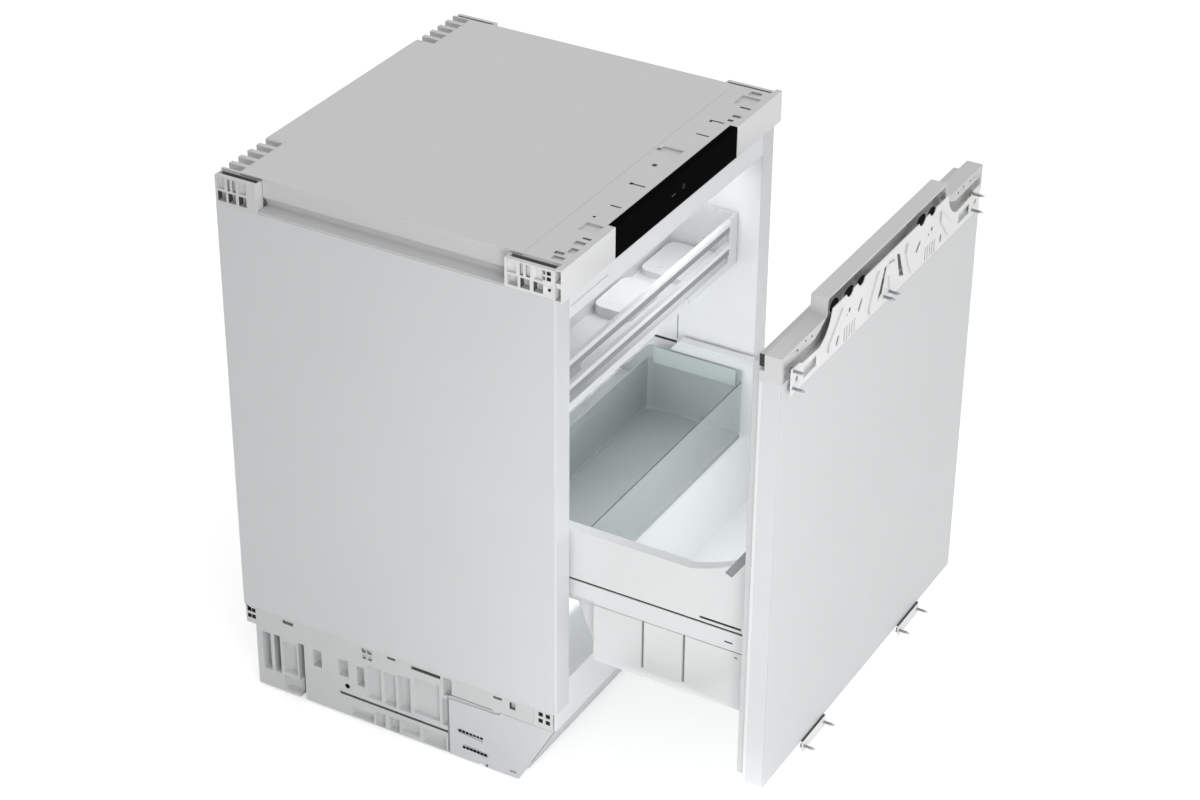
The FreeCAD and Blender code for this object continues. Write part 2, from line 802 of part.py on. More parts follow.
def foot(x, y):
    slotWide = 1.6
    slotDeep = 2.0
    pad = rod(footPad, (x, y, 0), (x, y, footPadTall))
    rim = [e for e in pad.Edges if abs(e.CenterOfMass.z - footPadTall) < sheet and e.Closed]
    pad = pad.makeFillet(footPadTall / 4, rim)
    stem = rod(footStem, (x, y, footPadTall / 2), (x, y, footStemTop))
    slot = box(x - overrun - footStem, x + overrun + footStem, y - slotWide / 2, y + slotWide / 2,
               footStemTop - slotDeep, footStemTop + overrun)
    return joined([pad, stem]).cut(slot)


# Cooling machine in the niche at the rear

compInset = 140.0
compBehind = 114.0
compX = nicheHalf - compInset
compY = bodyDepth - compBehind
compRadius = 74.0
compWall = 3.2
compPlate = 3.0
compBottom = 36.0
compRoom = 45.0
compTop = nicheTop - compRoom
compSeam = 2.5
mountX = 78.0
mountY = 48.0
mountNeck = 5.2
baseTop = baseLevel + baseSheet


def compressor():
    earWide = 18.0
    dome = 34.0
    plateZ = compBottom - compPlate
    can = rod(compRadius, (compX, compY, compBottom), (compX, compY, compTop))
    rims = [e for e in can.Edges if e.Closed]
    can = can.makeFillet(dome, rims)
    inside = rod(compRadius - compWall, (compX, compY, compBottom + compWall),
                 (compX, compY, compTop - compWall))
    rims = [e for e in inside.Edges if e.Closed]
    inside = inside.makeFillet(dome - compWall, rims)
    plate = box(compX - mountX - earWide, compX + mountX + earWide, compY - mountY - earWide,
                compY + mountY + earWide, plateZ, compBottom + dome / 8)
    seam = rod(compRadius + compSeam, (compX, compY, (compTop + compBottom) / 2),
               (compX, compY, (compTop + compBottom) / 2 + 2 * compPlate))
    flat = box(compX - mountX - 2 * earWide, compX + mountX + 2 * earWide,
               compY - 2 * mountY - earWide, compY + 2 * mountY + earWide, compBottom,
               compBottom + dome)
    plate = plate.cut(flat)
    stub = rod(compRadius / 2, (compX, compY, plateZ), (compX, compY, compBottom + dome / 4))
    holes = [rod(mountNeck + restGap, (compX + i * mountX, compY + j * mountY, 0),
                 (compX + i * mountX, compY + j * mountY, compBottom + overrun))
             for i in (-1, 1) for j in (-1, 1)]
    return joined([can, seam, cut(plate, holes), stub]).cut(inside)


def compressorMotor():
    # motor and pump block standing on its four springs inside the sealed can
    statorRadius = 46.0
    statorTall = 46.0
    blockTall = 34.0
    blockHalf = 30.0
    springRadius = 6.0
    springTall = 16.0
    shaftTall = 12.0
    low = compBottom + compWall
    z = low + springTall
    stator = rod(statorRadius, (compX, compY, z), (compX, compY, z + statorTall))
    block = box(compX - blockHalf, compX + blockHalf, compY - blockHalf, compY + blockHalf,
                z + statorTall, z + statorTall + blockTall)
    crank = rod(springRadius, (compX, compY, z + statorTall + blockTall),
                (compX, compY, z + statorTall + blockTall + shaftTall))
    reach = statorRadius / 2
    springs = [rod(springRadius, (compX + i * reach, compY + j * reach, low),
                   (compX + i * reach, compY + j * reach, z)) for i in (-1, 1) for j in (-1, 1)]
    return joined([stator, block, crank] + springs)


def compressorMounts():
    radius = 11.0
    boltRadius = 2.7
    solids = []
    top = compBottom - compPlate
    cap = compBottom + compPlate
    for i in (-1, 1):
        for j in (-1, 1):
            x = compX + i * mountX
            y = compY + j * mountY
            rubber = joined([rod(radius, (x, y, baseTop), (x, y, top)),
                             rod(mountNeck, (x, y, top), (x, y, compBottom)),
                             rod((radius + mountNeck) / 2, (x, y, compBottom), (x, y, cap))])
            solids.append(rubber.cut(rod(boltRadius + restGap, (x, y, 0), (x, y, 2 * cap))))
            solids.append(joined([rod(boltRadius, (x, y, baseTop), (x, y, cap)),
                                  rod(2 * boltRadius, (x, y, cap), (x, y, cap + compPlate))]))
    return Part.makeCompound(solids)


def startRelay():
    deep = 34.0
    wide = 50.0
    tall = 56.0
    belowShare = 0.6
    z = (compTop + compBottom) / 2 - tall * belowShare
    x = compX + compRadius - deep / 4
    block = box(x, x + deep, compY - wide / 2, compY + wide / 2, z, z + tall)
    edges = [e for e in block.Edges if e.CenterOfMass.x > x + deep - sheet]
    block = block.makeFillet(deep / 8, edges)
    return block.cut(rod(compRadius + compSeam + restGap, (compX, compY, 0),
                         (compX, compY, height)))


condInset = 32.0
condClear = 192.0
condGap = 4.0
condDeep = 50.0
condBottom = 10.5
condRoom = 64.0
condX0 = condInset - nicheHalf
condX1 = compX - condClear
condY0 = nicheFront + condGap
condY1 = condY0 + condDeep
condZ0 = baseTop + condBottom
condZ1 = nicheTop - condRoom


def condenser():
    finCount = 22
    finThick = 1.0
    tubeRadius = 3.5
    rowCount = 3
    columnCount = 2
    frame = 4.0
    solids = []
    for i in range(finCount):
        x = condX0 + frame + (condX1 - condX0 - 2 * frame - finThick) * i / (finCount - 1)
        solids.append(box(x, x + finThick, condY0, condY1, condZ0, condZ1))
    pitchZ = (condZ1 - condZ0) / (rowCount + 1)
    pitchY = (condY1 - condY0) / columnCount
    for j in range(columnCount):
        y = condY0 + pitchY * (j + 0.5)
        for i in range(rowCount):
            z = condZ0 + pitchZ * (i + 1)
            solids.append(rod(tubeRadius, (condX0, y, z), (condX1, y, z)))
    foot = box(condX0, condX1, condY0 + frame, condY1 - frame, baseTop, condZ0 + finThick)
    return joined(solids + [foot])


fanX = (condX0 + condX1) / 2
fanZ = (condZ0 + condZ1) / 2
fanShare = 0.75
fanRadius = fanShare * (condX1 - condX0) / 2
fanTip = 2.0
fanGap = 6.0
fanFront = condY1 + fanGap
fanDeep = 34.0
hubRadius = 19.0
shaftRadius = 3.0


def fanShroud():
    plateThick = 2.5
    armWide = 8.0
    half = (condX1 - condX0) / 2
    tall = (condZ1 - condZ0) / 2
    ringWall = 2.5
    motorRadius = 22.0
    motorLong = 26.0
    plate = box(fanX - half, fanX + half, fanFront, fanFront + plateThick, baseTop, fanZ + tall)
    ring = rod(fanRadius + fanTip + ringWall, (fanX, fanFront, fanZ),
               (fanX, fanFront + fanDeep, fanZ))
    back = fanFront + fanDeep
    bore = rod(fanRadius + fanTip, (fanX, fanFront - overrun, fanZ), (fanX, back + overrun, fanZ))
    reach = fanRadius + fanTip + ringWall / 2
    arms = [box(fanX - reach, fanX + reach, back - armWide / 2, back, fanZ - armWide / 2,
                fanZ + armWide / 2),
            box(fanX - armWide / 2, fanX + armWide / 2, back - armWide / 2, back,
                fanZ - reach, fanZ + reach)]
    motor = rod(motorRadius, (fanX, back - armWide / 2, fanZ), (fanX, back + motorLong, fanZ))
    spindle = rod(shaftRadius, (fanX, fanFront + plateThick, fanZ), (fanX, back, fanZ))
    shell = joined([plate, ring]).cut(bore)
    return joined([shell, motor, spindle] + arms)


def fanRotor():
    bladeCount = 5
    bladeTall = 20.0
    bladeThick = 1.8
    pitchAngle = 32.0
    startY = fanFront + bladeThick + sheet
    hubLong = 22.0
    hub = rod(hubRadius, (fanX, startY, fanZ), (fanX, startY + hubLong, fanZ))
    solids = [hub]
    middle = startY + hubLong / 2
    for i in range(bladeCount):
        blade = box(fanX - bladeTall / 2, fanX + bladeTall / 2, middle - bladeThick / 2,
                    middle + bladeThick / 2, fanZ + hubRadius / 2, fanZ + fanRadius)
        blade.rotate(Vec(fanX, middle, fanZ), Vec(0, 0, 1), pitchAngle)
        blade.rotate(Vec(fanX, middle, fanZ), Vec(0, 1, 0), 360.0 * i / bladeCount)
        solids.append(blade)
    rim = rod(fanRadius, (fanX, startY - overrun, fanZ), (fanX, startY + hubLong + overrun, fanZ))
    body = joined(solids).common(rim)
    bore = rod(shaftRadius + slideGap / 5, (fanX, 0, fanZ), (fanX, bodyDepth, fanZ))
    return body.cut(bore)


trayHalfX = 62.0
trayHalfY = 52.0
dripTall = 24.0


def evaporationTray():
    shellWall = 2.0
    corner = 10.0
    body = box(compX - trayHalfX, compX + trayHalfX, compY - trayHalfY, compY + trayHalfY,
               compTop, compTop + dripTall)
    upright = [e for e in body.Edges if abs(e.Vertexes[0].Z - e.Vertexes[-1].Z) > sheet]
    body = body.makeFillet(corner, upright)
    hollow = box(compX - trayHalfX + shellWall, compX + trayHalfX - shellWall,
                 compY - trayHalfY + shellWall, compY + trayHalfY - shellWall,
                 compTop + shellWall, compTop + dripTall + overrun)
    upright = [e for e in hollow.Edges if abs(e.Vertexes[0].Z - e.Vertexes[-1].Z) > sheet]
    hollow = hollow.makeFillet(corner - shellWall, upright)
    return body.cut(hollow)


drierClear = 32.0
drierAhead = 15.0
drierLong = 90.0
drierRoom = 90.0
drierRadius = 10.0
drierX = condX1 + drierClear
drierY = compY - drierAhead
drierZ1 = nicheTop - drierRoom
drierZ0 = drierZ1 - drierLong


def filterDrier():
    neck = 4.0
    taper = 10.0
    top = drierZ1 - taper
    low = drierZ0 + taper
    return joined([cone(neck, drierRadius, (drierX, drierY, drierZ0), (drierX, drierY, low)),
                   rod(drierRadius, (drierX, drierY, low), (drierX, drierY, top)),
                   cone(drierRadius, neck, (drierX, drierY, top), (drierX, drierY, drierZ1))])


def refrigerantPipes():
    pipe = 3.0
    bend = 12.0
    outRun = 20.0
    around = 40.0
    lowRise = 40.0
    riserTall = 60.0
    entryShare = 0.7
    high = nicheTop - bend
    rowZ = condZ0 + (condZ1 - condZ0) / 4
    rowY = condY0 + (condY1 - condY0) / 4
    lowZ = compBottom + lowRise
    outX = compX - compRadius
    side = outX - outRun
    farX = compX + compRadius + around
    suction = tube([(pipeXs[1], pipeY, pipeTop), (pipeXs[1], pipeY, high + 2 * pipe),
                    (farX, pipeY, high - 2 * bend), (farX, compY + around, lowZ + riserTall),
                    (compX + compRadius * entryShare, compY + around, lowZ + riserTall)], pipe, bend)
    discharge = tube([(outX - restGap + pipe, compY, lowZ), (side, compY, lowZ),
                      (side, rowY, rowZ), (condX1, rowY, rowZ)], pipe, bend)
    liquid = tube([(condX1, rowY, rowZ + (condZ1 - condZ0) / 4),
                   (drierX, rowY, rowZ + (condZ1 - condZ0) / 4),
                   (drierX, drierY, drierZ0 - 2 * bend), (drierX, drierY, drierZ0)],
                  pipe, bend)
    capillary = tube([(drierX, drierY, drierZ1), (drierX, drierY, high),
                      (pipeXs[0], pipeY, high), (pipeXs[0], pipeY, pipeTop)],
                     pipe / 2, bend)
    can = rod(compRadius + restGap, (compX, compY, 0), (compX, compY, compTop))
    return Part.makeCompound([suction.cut(can), discharge.cut(can), liquid, capillary])


socketInset = 65.0
socketDrop = 28.0
socketX = nicheHalf - socketInset
socketZ = nicheTop - socketDrop
socketHalf = 25.0
socketTall = 14.0


def compressorCover():
    # slotted plate that closes the niche at the back
    slotWide = 5.0
    slotPitch = 11.0
    slotCount = 14
    margin = 14.0
    plate = box(-nicheHalf, nicheHalf, bodyDepth - sheet, bodyDepth, baseLevel, nicheTop)
    low = baseLevel + 2 * margin
    middle = (baseLevel + nicheTop) / 2
    tools = []
    for centre in (fanX, compX - margin):
        for i in range(slotCount):
            x = centre + slotPitch * (i - (slotCount - 1) / 2)
            for z0, z1 in ((low, middle - margin / 2), (middle + margin / 2, nicheTop - 3 * margin)):
                tools.append(box(x - slotWide / 2, x + slotWide / 2, bodyDepth - overrun,
                                 bodyDepth + overrun, z0, z1))
    window = box(socketX - socketHalf, socketX + socketHalf, bodyDepth - overrun,
                 bodyDepth + overrun, socketZ - socketTall, socketZ + socketTall)
    return cut(plate, tools + [window])


def inletSocket():
    # recessed three-pin appliance inlet
    deep = 24.0
    flange = 4.0
    flangeThick = 2.0
    wellWall = 4.0
    wellDeep = 15.0
    pinHalf = 2.0
    pinPitch = 7.0
    back = bodyDepth - sheet
    body = box(socketX - socketHalf + restGap, socketX + socketHalf - restGap, back - deep, bodyDepth,
               socketZ - socketTall + restGap, socketZ + socketTall - restGap)
    inner = box(socketX - socketHalf - flange, socketX + socketHalf + flange, back - flangeThick,
                back, socketZ - socketTall - flange, socketZ + socketTall + flange)
    well = box(socketX - socketHalf + wellWall, socketX + socketHalf - wellWall,
               bodyDepth - wellDeep, bodyDepth + overrun, socketZ - socketTall + wellWall,
               socketZ + socketTall - wellWall)
    pins = [box(socketX + i * pinPitch - sheet, socketX + i * pinPitch + sheet,
                bodyDepth - wellDeep - sheet, bodyDepth - flangeThick, socketZ - pinHalf,
                socketZ + pinHalf) for i in (-1, 0, 1)]
    return joined([joined([body, inner]).cut(well)] + pins)


# Runners: cabinet member, middle member and drawer member, nested under the carriage side

runnerSheet = 1.2
runnerInset = 8.5
runnerOuter = halfOpening - runnerInset
wallInset = 24.0
carriageWall = halfOpening - wallInset
runnerStart = railBack + linerWall
endRoom = 12.0
runnerEnd = cavityBack - endRoom
shelfRear = cavityBack - openTravel - drawerRoom
runnerShort = 22.0
drawerRunnerEnd = shelfRear - runnerShort
middleInset = 20.0
middleRest = openTravel / 2


def runnerHat(outer, inner, top, outerLow, innerLow, y0, y1):
    # folded hat section that is open below
    points = [(-outer, outerLow), (-outer, top), (-inner, top), (-inner, innerLow),
              (-inner - runnerSheet, innerLow), (-inner - runnerSheet, top - runnerSheet),
              (-outer + runnerSheet, top - runnerSheet), (-outer + runnerSheet, outerLow)]
    return prismY(points, y0, y1)


def drawerRunner():
    return runnerHat(runnerOuter, carriageWall, runnerTop, runnerBottom, runnerBottom + overrun,
                     doorInner, drawerRunnerEnd)


def middleRunners():
    step = runnerSheet + slideGap
    y0 = runnerStart + middleInset - middleRest - doorGap
    y1 = runnerEnd - middleInset - middleRest
    left = runnerHat(runnerOuter - step, carriageWall + step, runnerTop - step,
                     runnerBottom + slideGap, runnerBottom + slideGap, y0, y1)
    return Part.makeCompound([left, mirrored(left)])


def cabinetRunner():
    step = 2 * (runnerSheet + slideGap)
    head = box(-runnerOuter + step, -carriageWall - step, runnerStart, runnerEnd, flangeZ,
               runnerTop - step)
    hollow = box(-runnerOuter + step + runnerSheet, -carriageWall - step - runnerSheet,
                 runnerStart - overrun, runnerEnd + overrun, flangeZ + 2 * runnerSheet,
                 runnerTop - step - runnerSheet)
    base = box(-halfOpening, -carriageWall - step, runnerStart, runnerEnd, flangeZ,
               flangeZ + runnerSheet)
    wallFlange = box(-halfOpening, -halfOpening + runnerSheet, runnerStart, runnerEnd,
                     flangeZ - flangeTall, flangeZ + runnerSheet)
    return joined([head.cut(hollow), base, wallFlange])


# Drawer carriage

sideInset = 7.0
sideOuter = halfOpening - sideInset
bendBack = 105.5
sideBendY = doorInner + bendBack
rimShort = 28.0
sideRimEnd = drawerRunnerEnd - rimShort
boxInset = 10.0
boxOuter = halfOpening - boxInset
boxLong = 249.5
boxRear = doorInner + boxLong
shellWall = 2.5
shelfDrop = 10.5
shelfZ = boxTop - shelfDrop
shelfBehind = 31.0
stepBack = boxRear + shelfBehind
innerHalf = carriageWall - shellWall


riseShare = 0.34


def carriageTopLine(lift):
    # the rim of the carriage side, from the door to the back
    middle = (sideBendY + doorInner) / 2
    rise = frontRise * riseShare
    return [(doorInner, sideFrontTop + lift),
            ((middle, sideTop + rise + lift), (sideBendY, sideTop + lift)),
            (sideRimEnd, sideTop + lift), (drawerRunnerEnd, sideTop - sideTall / 2)]


def carriageSide():
    slotLong = 60.0
    slotFront = 30.0
    slotTall = 3.0
    slotUp = 4.5
    points = carriageTopLine(0) + [(drawerRunnerEnd, sideBottom), (doorInner, sideBottom)]
    body = prismX(points, -sideOuter, -carriageWall)
    slot = box(-sideOuter - overrun, -sideOuter + slotTall, doorInner + slotFront,
               doorInner + slotFront + slotLong, sideBottom + slotUp,
               sideBottom + slotUp + slotTall)
    return body.cut(slot)


grooveShares = (0.70, 0.455)


def carriageShell():
    # one moulding: bottle compartment behind the door, and the shelf for the clear box
    rimDrop = 2.0
    shelfThick = 3.0
    grooveWide = 4.0
    grooveDeep = 1.5
    grooveUp = 14.0
    grooveLow = boxBottom + grooveUp
    lowOuter = prismX([(doorInner, boxBottom), (boxRear, boxBottom), (boxRear, boxTop),
                       (doorInner, boxTop)], -boxOuter, boxOuter)
    rim = carriageTopLine(-rimDrop)
    upOuter = prismX(rim + [(shelfRear, sideTop - sideTall / 2),
                            (shelfRear, shelfZ - shelfThick), (stepBack, shelfZ - shelfThick),
                            (boxRear, boxBottom), (doorInner, boxBottom)],
                     -carriageWall, carriageWall)
    frontIn = doorInner + shellWall
    over = sideFrontTop + overrun
    inner = prismX([(frontIn, over), (frontIn, boxBottom + shellWall),
                    (boxRear - shellWall, boxBottom + shellWall),
                    (stepBack - shellWall, shelfZ), (shelfRear - shellWall, shelfZ),
                    (shelfRear - shellWall, over)], -innerHalf, innerHalf)
    body = lowOuter.fuse(upOuter).removeSplitter().cut(inner)
    tools = []
    for side in (-1, 1):
        a = side * (boxOuter - shellWall)
        b = side * carriageWall
        tools.append(box(min(a, b), max(a, b), frontIn, boxRear - shellWall,
                         boxBottom - overrun, boxTop - shellWall))
        for share in grooveShares:
            y = doorInner + (boxRear - doorInner) * share
            a = side * (boxOuter + overrun)
            b = side * (boxOuter - grooveDeep)
            tools.append(box(min(a, b), max(a, b), y - grooveWide / 2, y + grooveWide / 2,
                             grooveLow, boxTop + overrun))
    return cut(body, tools)


clearSide = 4.0
clearHalf = carriageWall - clearSide
frontRoom = 1.5
clearFront = stepBack + frontRoom
rearRoom = 5.0
clearRear = shelfRear - rearRoom
clearTall = 108.5
clearTop = shelfZ + clearTall
clearDrop = 16.0
clearFrontTop = clearTop - clearDrop
clearWall = 2.5
clearBand = 30.0
clearInset = 2.0


def clearBox():
    # lift-out transparent box with a thicker band round its rim and a lower front wall
    corner = 8.0
    low = clearHalf - clearInset

    def block(half, y0, y1, z0, z1, radius):
        body = box(-half, half, y0, y1, z0, z1)
        upright = [e for e in body.Edges if abs(e.Vertexes[0].Z - e.Vertexes[-1].Z) > sheet]
        return body.makeFillet(radius, upright)
    outer = joined([block(low, clearFront, clearRear - clearInset, shelfZ, clearTop, corner),
                    block(clearHalf, clearFront, clearRear, clearTop - clearBand, clearTop,
                          corner)])
    inner = joined([block(low - clearWall, clearFront + clearWall,
                          clearRear - clearInset - clearWall, shelfZ + clearWall,
                          clearTop + overrun, corner - clearWall),
                    block(clearHalf - clearWall, clearFront + clearWall, clearRear - clearWall,
                          clearTop - clearBand + clearWall, clearTop + overrun,
                          corner - clearWall)])
    lower = box(-clearHalf - overrun, clearHalf + overrun, clearFront - overrun,
                clearFront + clearWall, clearFrontTop, clearTop + overrun)
    return outer.cut([inner, lower])


# Door

gasketIn = 4.0
gasketWide = 22.0
gasketDeep = trimProud + doorGap - restGap
doorPanDeep = 25.0
panRadius = 3.0


def doorOuterPanel():
    body = box(-doorHalf, doorHalf, doorOuter, doorOuter + doorPanDeep, doorBottom, capBottom)
    edges = [e for e in body.Edges if abs(e.CenterOfMass.y - doorOuter) < sheet
             and abs(e.Vertexes[0].Z - e.Vertexes[-1].Z) > sheet]
    body = body.makeFillet(panRadius, edges)
    inner = box(-doorHalf + sheet, doorHalf - sheet, doorOuter + sheet,
                doorOuter + doorPanDeep + overrun, doorBottom + sheet, capBottom + overrun)
    return body.cut(inner)


def doorInnerPanel():
    # inner face of the door, turned forward round its edge to meet the outer pan
    rim = doorThickness - doorPanDeep
    plate = box(-doorHalf, doorHalf, doorInner - skin, doorInner, doorBottom, capBottom)
    frame = box(-doorHalf, doorHalf, doorInner - rim, doorInner, doorBottom, capBottom)
    frame = frame.cut(box(-doorHalf + skin, doorHalf - skin, doorInner - rim - overrun, doorInner,
                          doorBottom + skin, capBottom + overrun))
    return joined([plate, frame])


def doorFoam():
    inside = doorHalf - skin
    low = doorBottom + skin
    body = box(-inside, inside, doorOuter + sheet, doorInner - skin, low, capBottom)
    corners = [e for e in body.Edges if abs(e.Vertexes[0].Z - e.Vertexes[-1].Z) > sheet]
    return body.makeFillet(panRadius, corners)


capGrow = 5.0
capRaised = capHalf + capGrow
capRim = 3.0
capFoot = 14.0
capSetBack = 7.0
recessDeep = 6.0
capPocketDeep = 14.0

# small holes in the front face of the cap, across and up
capHoleShares = [(0.733, 0.80), (0.788, 0.85), (0.864, 0.80)]

# edge of the recess for the front bracket: across as shares of the half width of the door,
# up as shares of the height of the cap's lower band
recessShares = [(0.588, 1.03), (0.655, 0.72), (0.71, 0.56), (0.975, 0.60)]

# deep pockets in the raised middle, across as shares of its half width
pocketShares = (0.37, 0.96)


def doorTopCap():
    # moulded top of the door, with the raised middle and the recess behind the front bracket
    holeRadius = 1.6
    holeDeep = 6.0
    rear = doorInner - capSetBack
    foot = box(-doorHalf, doorHalf, doorOuter, doorInner, capBottom, capBottom + capFoot)
    wide = box(-doorHalf, doorHalf, doorOuter, rear, capBottom, doorTop)
    middle = box(-capRaised, capRaised, doorOuter, rear, doorTop - overrun, capTop)
    body = joined([foot, wide, middle])
    tools = []
    right = [(capRaised - capRim, capTop - capRim)]
    right += [(doorHalf * x, capBottom + capBand * z) for x, z in recessShares]
    right.append((doorHalf * recessShares[-1][0], capBottom - overrun))
    points = right + [(-x, z) for x, z in reversed(right)]
    tools.append(prismY(points, doorOuter - overrun, doorOuter + recessDeep))
    for side in (-1, 1):
        a = side * capRaised * pocketShares[0]
        b = side * capRaised * pocketShares[1]
        tools.append(box(min(a, b), max(a, b), doorOuter - overrun, doorOuter + capPocketDeep,
                         doorTop - 2 * capRim, capTop - 2 * capRim))
        for xShare, zShare in capHoleShares:
            x = side * doorHalf * xShare
            z = capBottom + capBand * zShare
            tools.append(rod(holeRadius, (x, doorOuter - overrun, z), (x, doorOuter + holeDeep, z)))
    return cut(body, tools)


def doorGasket():
    # hollow magnetic seal, a closed frame
    low = doorBottom + 2 * gasketIn
    top = trimBottom - gasketIn / 2
    half = doorHalf - gasketIn
    lipWall = 1.5
    outer = box(-half, half, doorInner, doorInner + gasketDeep, low, top)
    hole = box(-half + gasketWide, half - gasketWide, doorInner - overrun,
               doorInner + gasketDeep + overrun, low + gasketWide, top - gasketWide)
    ring = outer.cut(hole)
    edges = [e for e in ring.Edges if abs(e.CenterOfMass.y - doorInner - gasketDeep) < sheet]
    return ring.makeFillet(lipWall, edges)


bracketOff = 5.5
bracketSheet = 1.5
bracketFace = doorOuter - bracketOff
bracketDrop = 14.5
bracketTall = 67.5
bracketTop = capTop - bracketDrop
bracketLow = bracketTop - bracketTall
armInset = 16.0
armHalf = doorHalf - armInset
screwRadius = 2.0
screwNeck = 1.8
screwHead = 4.2
screwHeadTall = 2.5
screwOut = 17.0
leftIn = 5.0
rightIn = 25.0
endScrewLow = 8.5
endScrewPitch = 24.0
centreRise = 10.5
centreFar = -21.0
centreNear = -5.0
screwPlaces = [(x, bracketLow + rise) for x in (leftIn - armHalf, armHalf - rightIn)
               for rise in (endScrewLow, endScrewLow + endScrewPitch)]
screwPlaces += [(centreFar, bracketLow + centreRise), (centreNear, bracketLow + centreRise)]

# features of the bracket: across as shares of the cap's half width, up as shares of its height
shoulderShares = ((1.076, 0.60), (1.192, 0.43))
notchShares = [0.527, 0.718]
notchUpShare = 1.060
holeShares = (0.713, 0.612)
pinHoleShares = [(-0.756, 0.55), (0.651, 0.55)]
leanSlotShares = [((-0.512, 0.565), (-0.552, 0.417)), ((0.494, 0.565), (0.448, 0.446)),
                  ((-0.885, 0.25), (-0.905, 0.14)), ((0.895, 0.24), (0.895, 0.15))]
wedgeShares = [(0.081, 0.802), (0.134, 0.772), (0.233, 0.180), (0.145, 0.269)]
outerRibShares = [(0.855, 0.831), (0.960, 0.565), (1.060, 0.313), (1.066, 0.150),
                  (1.017, 0.120), (0.924, 0.387), (0.855, 0.594)]
middleRibShares = [(0.244, 0.846), (0.267, 0.817), (0.334, 0.565), (0.390, 0.239),
                   (0.381, 0.091), (0.343, 0.091), (0.273, 0.372), (0.221, 0.669)]
centreRibShares = [(-0.076, 0.802), (0.023, 0.772), (-0.006, 0.550), (0.0, 0.230),
                   (-0.047, 0.230), (-0.070, 0.550)]
grilleShares = (0.593, 0.802, 0.037, 0.323)
standShares = [(0.0, 0.45), (0.581, 0.57), (-0.581, 0.57), (1.151, 0.18), (-1.151, 0.18)]

# features of the arms: across as shares of the arm's half length
armShares = [(0.895, 0.46), (0.923, 0.53), (1.0, 0.54), (1.0, 0.0)]
armWindowShares = (0.752, 0.88, 0.11, 0.33)
armHoleShares = (0.945, 0.25)


def atBracket(half, share):
    return (half * share[0], bracketLow + bracketTall * share[1])


def bracketOutline():
    # right half from its top corner down to the foot of the end plate, then the same mirrored
    via = atBracket(capHalf, shoulderShares[0])
    neck = atBracket(capHalf, shoulderShares[1])
    arm = [atBracket(armHalf, share) for share in armShares]
    right = [(capHalf, bracketTop), (via, neck)] + arm
    left = [(-x, z) for x, z in reversed(arm)]
    left += [(-neck[0], neck[1]), ((-via[0], via[1]), (-capHalf, bracketTop))]
    return right + left


def throughBracket(points):
    return prismY(points, bracketFace - overrun, bracketFace + overrun)


def leanSlot(ends, radius):
    # slot between two round ends, through the bracket
    (x0, z0), (x1, z1) = ends
    along = Vec(x1 - x0, 0, z1 - z0)
    aside = Vec(-along.z, 0, along.x).normalize() * radius
    corners = [(x0 + aside.x, z0 + aside.z), (x1 + aside.x, z1 + aside.z),
               (x1 - aside.x, z1 - aside.z), (x0 - aside.x, z0 - aside.z)]
    rounds = [rod(radius, (x, bracketFace - overrun, z), (x, bracketFace + overrun, z))
              for x, z in ends]
    return [throughBracket(corners)] + rounds


def frontBracket():
    # pressed steel bracket that takes the furniture front
    ribTall = 2.5
    notchRadius = 11.0
    slotRadius = 3.0
    holeRadius = 3.5
    pinRadius = 1.7
    armHoleRadius = 4.3
    standRadius = 6.0
    grilleCount = 5
    grilleWide = 3.0
    rounds = [(*atBracket(capHalf, share), pinRadius) for share in pinHoleShares]
    tools = []
    ribs = []
    for side in (-1, 1):
        for share in notchShares:
            rounds.append((*atBracket(side * capHalf, (share, notchUpShare)), notchRadius))
        rounds.append((*atBracket(side * capHalf, holeShares), holeRadius))
        rounds.append((*atBracket(side * armHalf, armHoleShares), armHoleRadius))
        tools.append(throughBracket([atBracket(side * capHalf, p) for p in wedgeShares]))
        x0, x1, z0, z1 = armWindowShares
        window = [(x0, z0), (x1, z0), (x1, z1), (x0, z1)]
        tools.append(throughBracket([atBracket(side * armHalf, p) for p in window]))
        x0, x1, z0, z1 = grilleShares
        pitch = (x1 - x0) * capHalf / grilleCount
        for i in range(grilleCount):
            x, low = atBracket(side * capHalf, (x0, z0))
            x += side * pitch * (i + 0.5)
            high = bracketLow + bracketTall * z1
            tools.append(box(x - grilleWide / 2, x + grilleWide / 2, bracketFace - overrun,
                             bracketFace + overrun, low, high))
        for shares in (outerRibShares, middleRibShares):
            line = [atBracket(side * capHalf, p) for p in shares]
            ribs.append(prismY(line, bracketFace - ribTall, bracketFace + sheet))
    centre = [atBracket(capHalf, p) for p in centreRibShares]
    ribs.append(prismY(centre, bracketFace - ribTall, bracketFace + sheet))
    for top, low in leanSlotShares:
        tools += leanSlot([atBracket(capHalf, top), atBracket(capHalf, low)], slotRadius)
    for x, z in screwPlaces:
        rounds.append((x, z, screwRadius + slideGap / 5))
    for x, z, radius in rounds:
        tools.append(rod(radius, (x, bracketFace - overrun, z), (x, bracketFace + overrun, z)))
    stands = []
    for share in standShares:
        x, z = atBracket(capHalf, share)
        seat = doorOuter + recessDeep if z > capBottom + standRadius else doorOuter
        stands.append(rod(standRadius, (x, bracketFace + sheet, z), (x, seat, z)))
    plate = prismY(bracketOutline(), bracketFace, bracketFace + bracketSheet)
    return joined([cut(plate, tools)] + ribs + stands)


angleHalf = 34.0
angleX = 151.0
angleTall = 18.0
angleDeep = 22.0
angleStand = 1.5
angleScrew = 30.0


